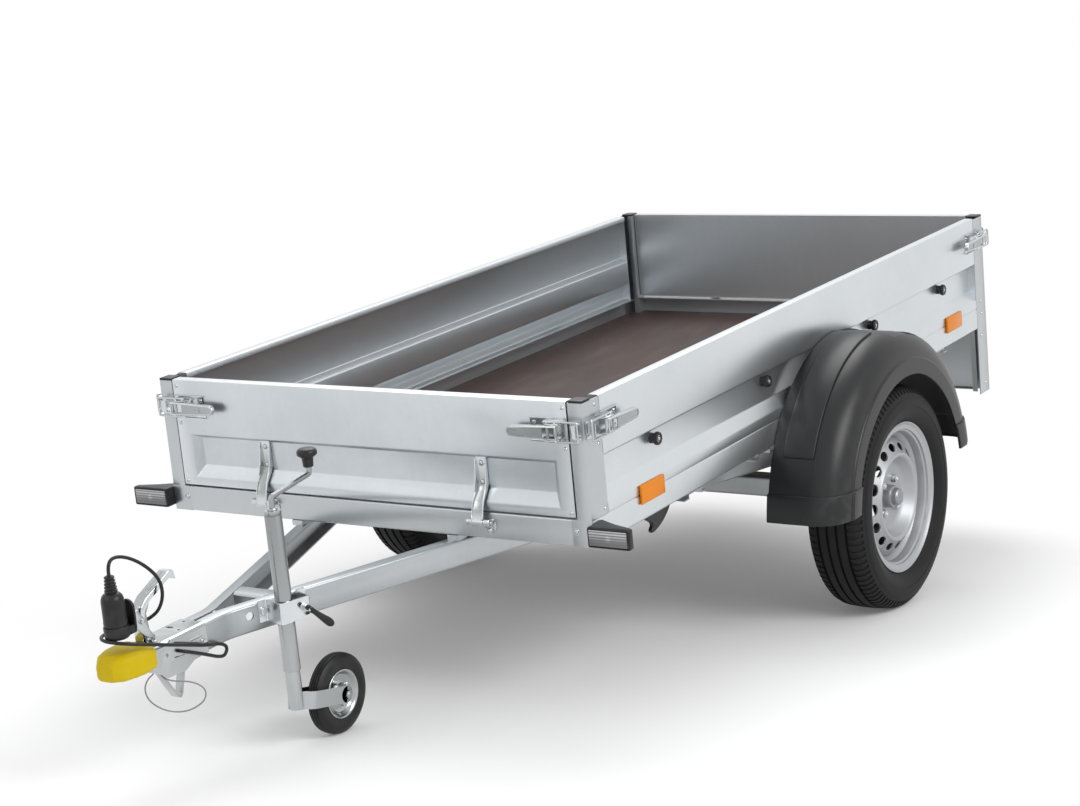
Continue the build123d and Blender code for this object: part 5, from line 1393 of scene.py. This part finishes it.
lean = math.sqrt(1 + ARM_SPREAD ** 2)
BRACE_Y = (-0.431, -0.385)
brace_half = arm_x(BRACE_Y[1]) - ARM_FLANGE * lean
brace_front = BRACE_Y[0] + ARM_T / 2
brace_back = BRACE_Y[1] - ARM_T / 2
brace = channel([(-brace_half, y, z) for y, z in ((brace_front, -0.038), (brace_front, skin_top),
                 (brace_back, skin_top), (brace_back, -0.038))], (2 * brace_half, 0, 0), ARM_T, 0.004)
edit(brace)
for side in (-1, 1):
    bpy.ops.mesh.select_all(action="SELECT")
    bpy.ops.mesh.bisect(plane_co=(side * (arm_x(BRACE_Y[0]) - ARM_FLANGE * lean), BRACE_Y[0], 0),
                        plane_no=(side, -ARM_SPREAD, 0), clear_outer=True, use_fill=True)
outward()
leave_edit()
done(brace, "arm_brace", "chassis", FRAME_AND_SHADE, "drawbar_brace")

# %% [markdown]
# ## Coupling
# The coupling is a stamped hood over the arms that narrows to the ball socket.  Its outline is bridged from
# station to station; the hollow for the arms and the socket for the ball are then cut out from below.

# %% Coupling body
def hood(y, half, top, low, bend):
    """One station of the hood: an outline with rounded upper corners."""
    corner = [(half - bend + bend * math.sin(turn), top - bend + bend * math.cos(turn))
              for turn in (0.0, math.pi / 6, math.pi / 3, math.pi / 2)]
    roof = [(-x, y, z) for x, z in corner[::-1]] + [(x, y, z) for x, z in corner]
    return [(-half, y, low)] + roof + [(half, y, low)]


BALL = Vector((0, -0.815, -0.04))
BEAD_Y = -0.735
coupling = lofted([hood(-0.6, 0.0358, -0.0082, -0.07, 0.009), hood(-0.645, 0.0358, -0.0082, -0.072, 0.009),
                   hood(-0.67, 0.0358, -0.0085, -0.084, 0.009), hood(-0.722, 0.0355, -0.0085, -0.082, 0.01),
                   hood(-0.742, 0.035, -0.0085, -0.066, 0.011), hood(-0.785, 0.033, -0.008, -0.047, 0.014),
                   hood(-0.822, 0.029, -0.009, -0.0465, 0.018), hood(-0.842, 0.0165, -0.0155, -0.0455, 0.013)])
rounded(coupling, 0.002, 2, 28)
inside = cuboid((-0.0322, -0.74, -0.1), (0.0322, -0.59, -0.0115))
neck = cuboid((-0.027, -0.792, -0.1), (0.027, -0.738, -0.013))
bpy.ops.object.select_all(action="DESELECT")
bpy.ops.mesh.primitive_uv_sphere_add(segments=48, ring_count=32, radius=0.0253, location=BALL)
socket = bpy.context.object
bpy.ops.object.transform_apply(location=True)
under = cuboid((-0.05, -0.85, -0.1), (0.05, -0.782, -0.042))
side_holes = pin_x(0.05, 0.0045, (0, -0.719, -0.037), 24)
top_holes = [pin_z(radius, -0.02, 0.02, (x, y, -0.01)) for x, y, radius in ((-0.01, -0.613, 0.0032),
             (-0.013, -0.696, 0.003), (0.014, -0.655, 0.003))]
slot = pin_z(0.0042, -0.02, 0.02, (0, 0, 0))
moved(slot, shift(-0.014, -0.65, -0.01) @ Matrix.Scale(2.4, 4, LEFT))
holed(coupling, inside, neck, socket, under, side_holes, slot, *top_holes)
bead = turned([(x, BEAD_Y, z) for x, z in ((0.0415, -0.0098), (0.042, -0.0076), (0.044, -0.0066), (0.046, -0.0076),
                                           (0.0465, -0.0098))], (0, BEAD_Y, 0), UP, 40, math.radians(100))
moved(bead, shift(0, BEAD_Y, 0) @ Matrix.Rotation(math.radians(40), 4, "Z") @ shift(0, -BEAD_Y, 0))
long_bead = [(0.0, 0.0), (0.0014, 0.0005), (0.0028, 0.002), (0.003, 0.004), (0.003, 0.034), (0.0028, 0.036),
             (0.0014, 0.0375), (0.0, 0.038)]
side_beads = heads(long_bead, REAR, [(side * 0.035, y, z) for side in (-1, 1) for y,
                                     z in ((-0.708, -0.05), (-0.652, -0.03))], 24)
coupling_bolts = [hexagon(0.013, 0.005, 0.0085, (side, 0, 0), (side * 0.0358, -0.613, -0.046)) for side in (-1, 1)]
joined(coupling, bead, side_beads)
done(coupling, "stamped_coupling", "chassis", PLATED, "coupling_body", flat_faces=True)
done(joined(*coupling_bolts), "coupling_bolts", "chassis", PLATED)

# %% Release handle
HANDLE_Y = -0.752
HANDLE_Z = -0.008
HANDLE_HALF = 0.0122
handle_line = [(0.003, 0.06), (0.006, 0.074), (0.023, 0.0895), (0.092, 0.1195), (0.104, 0.119), (0.1085, 0.1)]
handle = sheet([(-HANDLE_HALF, HANDLE_Y + along, HANDLE_Z + rise) for along, rise in handle_line],
               (2 * HANDLE_HALF, 0, 0))
edit(handle)
pick("EDGE", lambda at, run: abs(abs(at.x) - HANDLE_HALF) < 1e-5 and abs(run.x) < 1e-6 and at.y < HANDLE_Y + 0.095)
push((0, 0.0075, -0.009))
outward()
leave_edit()
rounded(handle, 0.0032, 3, 18)
walled(handle, 0.002)
handle_ribs = [rod([(x, HANDLE_Y + 0.03, HANDLE_Z + 0.093), (x, HANDLE_Y + 0.088, HANDLE_Z + 0.118)], 0.003)
               for x in (-0.0055, 0.0055)]
handle_column = block([(-0.0105, HANDLE_Y + along, HANDLE_Z + rise) for along, rise in ((0.001, 0), (0.027, 0),
                       (0.023, 0.028), (0.0195, 0.058), (0.0305, 0.075), (0.034, 0.086), (0.021, 0.0845),
                       (0.007, 0.071), (0.001, 0.036))], (0.021, 0, 0))
rounded(handle_column, 0.0018, 2, 40)
handle_pin = pin_x(0.0135, 0.0035, (0, HANDLE_Y + 0.012, HANDLE_Z + 0.02), 20)
done(joined(handle, handle_column, handle_pin, *handle_ribs), "release_handle", "chassis", PLATED,
     "coupling_handle")

# %% Safety stirrup
stirrup_line = [(-0.716, ARM_LOW), (-0.69, -0.114), (-0.6735, -0.1385), (-0.668, -0.1425), (-0.6625, -0.137),
                (-0.64, ARM_LOW)]
stirrup = channel([(-0.009, y, z) for y, z in stirrup_line], (0.018, 0, 0), 0.0036, 0.002)
done(stirrup, "safety_stirrup", "chassis", TUBE, "stirrup")

# %% [markdown]
# The yellow rubber cap over the coupling's head has flat facets with soft edges.  It is bridged over five outlines
# and hollowed to the form of the head.

# %% Yellow cap
def cap_ring(y, half, top, low, bend, flat_top):
    """One outline of the cap, with a narrower roof than waist."""
    right_half = [(flat_top, top), (flat_top + bend * 0.55, top - bend * 0.12),
                  (half - bend * 0.1, top - bend * 0.7), (half, top - bend * 1.25), (half, low + bend),
                  (half - bend * 0.3, low + bend * 0.3), (half - bend, low)]
    return [(x, y, z) for x, z in right_half] + [(-x, y, z) for x, z in reversed(right_half)]


cap = lofted([cap_ring(-0.7525, 0.0428, -0.002, -0.0495, 0.01, 0.026),
              cap_ring(-0.782, 0.044, 0.0008, -0.052, 0.01, 0.027),
              cap_ring(-0.808, 0.0422, 0.0012, -0.0515, 0.01, 0.026),
              cap_ring(-0.833, 0.0345, -0.0005, -0.0505, 0.01, 0.02),
              cap_ring(-0.853, 0.0205, -0.0125, -0.047, 0.009, 0.01)])
rounded(cap, 0.0028, 3, 20)
cavity = cuboid((-0.0366, BALL.y, -0.12), (0.0366, -0.7, -0.0072))
holed(cap, cavity, pin_z(0.029, -0.12, -0.0165, (0, BALL.y, 0), 64))
done(cap, "head_cap", "chassis", ("yellow_plastic", cap_yellow), "coupling_cap")
print("coupling:", len(coupling.data.polygons), "faces")

# %% [markdown]
# ## Parked plug
# The plug is one lathe turning with a collar, a ribbed neck and a bell mouth.  Its holder is a cup with a tall
# round-headed ear, on a folded bracket.

# %% Plug and holder
PLUG = Vector((0, -0.806, 0))
plug_line = [(0, 0.03), (0.0215, 0.03), (0.0222, 0.033), (0.0223, 0.052), (0.023, 0.0535), (0.023, 0.06),
             (0.0224, 0.0612), (0.0224, 0.096), (0.0218, 0.103), (0.0196, 0.109), (0.016, 0.113), (0.0138, 0.1145)]
for number in range(5):
    base = 0.115 + 0.0065 * number
    wide = 0.0128 - 0.0007 * number
    plug_line += [(wide - 0.0018, base), (wide - 0.0018, base + 0.0018), (wide, base + 0.0028),
                  (wide, base + 0.0055)]
plug_line += [(0.008, 0.147), (0.0068, 0.1485), (0.0045, 0.1488), (0, 0.148)]
plug = turned_z(plug_line, PLUG, 48)
rounded(plug, 0.0005, 2, 40)
done(plug, "parked_plug", "chassis", BLACK, "plug")
cup = turned_z([(0, 0.026), (0.0215, 0.026), (0.0235, 0.0275), (0.0246, 0.048), (0.0238, 0.05), (0, 0.05)], PLUG,
               48)
ear_top = [(0.006 + 0.0165 * math.sin(turn), 0.077 + 0.0165 * math.cos(turn))
           for turn in [math.radians(step) for step in range(-75, 90, 15)]]
ear_line = [(-0.011, 0.028), (-0.0105, 0.075)] + ear_top + [(0.0225, 0.07), (0.022, 0.036), (0.017, 0.0285)]
ear_back = -0.772
holder_ear = block([(x, ear_back, z) for x, z in ear_line], (0, -0.0058, 0))
rounded(holder_ear, 0.0016, 2, 40)
shelf = cuboid((-0.011, -0.8, 0.028), (0.021, ear_back, 0.046))
rounded(shelf, 0.003)
done(joined(cup, holder_ear, shelf), "plug_cradle", "chassis", BLACK, "plug_holder")
bracket_line = [(-0.726, -0.0075), (-0.748, -0.0075), (-0.748, 0.008), (ear_back, 0.034), (ear_back, 0.068),
                (-0.762, 0.068), (-0.738, 0.022), (-0.726, 0.004)]
bracket = rounded(block([(0.016, y, z) for y, z in bracket_line], (0.0028, 0, 0)), 0.0006)
bracket_foot = rounded(cuboid((0.016, -0.748, -0.0078), (0.032, -0.726, -0.0052)), 0.0008)
bracket_bolts = [hexagon(0.01, 0.004, 0.0068, LEFT, (0.0188, -0.757, 0.044)), hexagon(0.01, 0.004, 0.0068, UP,
                 (0.0255, -0.737, -0.0052))]
done(joined(bracket, bracket_foot, *bracket_bolts), "cradle_bracket", "chassis", PLATED, "holder_bracket")

# %% [markdown]
# ## Jockey wheel
# The clamp is a folded strap on the left arm with a tommy lever.  The outer tube slides in it.  The fork's inner
# tube, its bent plates and the small wheel hang on the bodies of the slide, the swivel and the spin.

# %% Clamp and lever
JOCKEY = Vector((0.1, -0.438, 0))
TUBE_R = 0.0175
CRANK_Y = -0.312
CLAMP_Y = -0.448
CLAMP_LOW = -0.054
CLAMP_TALL = 0.044
along = Vector((ARM_SPREAD, 1, 0)).normalized()
inwards = Vector((-along.y, along.x, 0))
CLAMP = Matrix(((along.x, inwards.x, 0, arm_x(CLAMP_Y)), (along.y, inwards.y, 0, CLAMP_Y), (0, 0, 1, CLAMP_LOW),
                (0, 0, 0, 1)))
face_at = (CLAMP.inverted() @ JOCKEY).y - TUBE_R - 0.0003
strap_line = [(-0.019, -0.002), (0.002, -0.002), (0.002, face_at - 0.002), (0.07, face_at - 0.002), (0.07, -0.002),
              (0.091, -0.002)]
clamp = channel([(s, d, 0) for s, d in strap_line], (0, 0, CLAMP_TALL), 0.0038, 0.0045)
low_cut = block([(0.015, 0.02, -0.001), (0.1, 0.02, -0.001), (0.1, 0.02, 0.011), (0.074, 0.02, 0.008)],
                (0, -0.1, 0))
holed(clamp, low_cut)
clamp_bolts = [hexagon(0.013, 0.005, 0.009, -REAR, (s, -0.004, CLAMP_TALL / 2)) for s in (-0.01, 0.081)]
spindle_at = Vector((0.058, face_at - 0.004, CLAMP_TALL / 2))
joined(clamp, *clamp_bolts, hexagon(0.013, 0.006, 0.01, -REAR, spindle_at))
moved(clamp, CLAMP)
done(clamp, "tube_clamp", "chassis", PLATED, "jockey_clamp")
SPINDLE = CLAMP @ spindle_at
lever_dir = Vector((0.35, 0.62, -0.7)).normalized()
grip_line = [(0, -0.006), (0.0052, -0.004), (0.0056, 0.006), (0.0052, 0.018), (0.0066, 0.034), (0.0084, 0.052),
             (0.0082, 0.06), (0.006, 0.0655), (0.003, 0.068), (0, 0.0685)]
grip = heads(grip_line, lever_dir, [SPINDLE - inwards * 0.013 + Vector((0, -0.002, 0.003))], 24)
neck_line = [(0, 0.004), (0.0048, 0.004), (0.005, 0.006), (0.005, 0.016), (0.0036, 0.019), (0, 0.019)]
done(grip, "clamp_grip", "chassis", BLACK, "clamp_lever")
done(heads(neck_line, -inwards, [SPINDLE], 20), "clamp_spindle", "chassis", PLATED)

# %% Tubes and crank
outer_line = [(0.0155, -0.158), (0.017, -0.158), (TUBE_R, -0.1575), (TUBE_R, 0.165), (0.0166, 0.1668),
              (0.0166, 0.1682), (TUBE_R, 0.17), (TUBE_R, 0.1745), (0.016, 0.176), (0.0075, 0.176), (0.007, 0.174),
              (0.0155, 0.17), (0.0155, -0.158)]
outer = turned_z(outer_line, JOCKEY, 48)
done(outer, "outer_tube", "jockey_tube", TUBE, "jockey_tube")
crank_top = 0.176
crank = rod([(JOCKEY.x, y, crank_top + rise) for y, rise in ((JOCKEY.y, -0.004), (JOCKEY.y, 0.026), (CRANK_Y, 0.04),
             (CRANK_Y, 0.058))], 0.0116, 0.012)
crank_collar = turned_z([(0, crank_top + 0.004), (0.0095, crank_top + 0.004), (0.0105, crank_top + 0.002),
                         (0.0105, crank_top - 0.001)], JOCKEY, 32)
done(joined(crank, crank_collar), "winding_crank", "jockey_tube", TUBE, "jockey_crank")
knob_z = crank_top + 0.054
grip_knob = turned_z([(0, 0), (0.0095, 0), (0.0105, 0.0012), (0.0112, 0.01), (0.0118, 0.018), (0.015, 0.0215),
                      (0.0195, 0.024), (0.0208, 0.0262), (0.021, 0.03), (0.0205, 0.033), (0.0185, 0.0362),
                      (0.015, 0.0382), (0.006, 0.0392), (0, 0.0393)], (JOCKEY.x, CRANK_Y, knob_z), 48)
done(grip_knob, "crank_grip", "jockey_tube", BLACK, "crank_knob")

# %% Fork
FORK_H = 0.036
FORK_T = 0.004
WHEEL_J = Vector((JOCKEY.x, JOCKEY.y + 0.13, -0.255))
fork_half = 0.018 + 0.005 + FORK_T / 2
root_z = -0.222
fork_run = Vector((0, WHEEL_J.y - JOCKEY.y + 0.006, WHEEL_J.z - root_z))
fork_turn = math.atan2(fork_run.z, fork_run.y)
inner_r = 0.0152
plates = []
for side in (1, -1):
    plan = [(side * 0.011, -0.003), (side * 0.012, 0.014), (side * fork_half, 0.038),
            (side * fork_half, fork_run.length)]
    plates.append(channel([(x, y, -FORK_H / 2) for x, y in plan], (0, 0, FORK_H), FORK_T, 0.006))
    plates.append(rounded(pin_x(FORK_T / 2, FORK_H / 2, (side * fork_half, fork_run.length, 0), 40), 0.0006))
fork = joined(*plates)
moved(fork, shift(JOCKEY.x, JOCKEY.y - 0.006, root_z) @ Matrix.Rotation(fork_turn, 4, "X"))
inner_tube = turned_z([(0, -0.24), (inner_r - 0.0012, -0.24), (inner_r, -0.239), (inner_r, -0.069), (0, -0.069)],
                      JOCKEY, 48)
axle_pin = turned_x([(-fork_half - 0.01, 0), (-fork_half - 0.01, 0.0048), (-fork_half - 0.009, 0.0058),
                     (fork_half + 0.009, 0.0058), (fork_half + 0.01, 0.0048), (fork_half + 0.01, 0)], WHEEL_J, 24)
fork_nuts = [hexagon(0.017, 0.007, 0, (side, 0, 0), WHEEL_J + Vector((side * (fork_half + 0.0008), 0, 0)))
             for side in (1, -1)]
done(joined(fork, inner_tube, axle_pin, *fork_nuts), "caster_fork", "jockey_fork", TUBE, "jockey_fork")

# %% Small wheel
caster_side = [(0.0145, 0.0508), (0.0158, 0.0545), (0.0172, 0.06), (0.018, 0.066), (0.0178, 0.0715),
               (0.016, 0.0762), (0.0135, 0.0798)]
caster_tread = []
for groove in (0.0096, 0.0032, -0.0032, -0.0096):
    level = 0.0845 - 16 * groove * groove
    caster_tread += [(groove + 0.0012, level), (groove + 0.0008, level - 0.0016), (groove - 0.0008, level - 0.0016),
                     (groove - 0.0012, level)]
caster_section = caster_side + caster_tread + [(-x, radius) for x, radius in reversed(caster_side)]
caster = turned_x(caster_section + caster_section[:1], WHEEL_J, 96)
done(caster, "caster_tyre", "jockey_wheel", ("jockey_rubber", caster_black), "jockey_tyre")
rim_half = [(0.0195, 0.0062), (0.0195, 0.012), (0.0185, 0.0135), (0.01, 0.015), (0.0065, 0.019), (0.0045, 0.023),
            (0.004, 0.033), (0.0065, 0.04), (0.012, 0.0445), (0.015, 0.0465), (0.0168, 0.05), (0.016, 0.0515),
            (0.0145, 0.0503), (0.0125, 0.048)]
caster_rim = turned_x(rim_half + [(-x, radius) for x, radius in reversed(rim_half)] + rim_half[:1], WHEEL_J, 64)
rounded(caster_rim, 0.0006, 2, 30)
rim_bolts = [ring_of(hexagon(0.009, 0.004, 0.006, (side, 0, 0), (side * 0.0044, 0.0275, 0)), 4, 20, WHEEL_J)
             for side in (1, -1)]
done(joined(caster_rim, *rim_bolts), "caster_rim", "jockey_wheel", PLATED, "jockey_rim")
print("jockey wheel:", len(caster.data.polygons), "faces in the tyre")
# %% [markdown]
# ## Looks for the pieces that stay as packed
# Plain pieces keep the frame's own form.  Each takes the finish of its material.

# %% Dress what stays
LOOKS = {"galvanised_sheet": panel_zinc, "galvanised_steel": frame_and_shade_zinc, "bright_zinc": plated,
         "cast_hub": hub_grey, "silver_rim": rim_silver, "road_tyre": tyre_black, "jockey_rubber": caster_black,
         "black_plastic": part_black, "yellow_plastic": cap_yellow, "amber_plastic": amber,
         "clear_plastic": clear_lens, "red_plastic": red_lens, "brown_plywood": floor_film}
OWN_LOOK = {"axle_beam": dull_zinc, "swing_arms": dull_zinc}
slot_of = {row["node"]: row["material_slot"] for row in frame["record"]["subparts"]}
for name, piece in nodes.items():
    piece.data.materials.clear()
    piece.data.materials.append(OWN_LOOK.get(name, LOOKS[slot_of[name]]))
cable.data.materials.append(cable_black)
safety_line.data.materials.append(wire_clear)
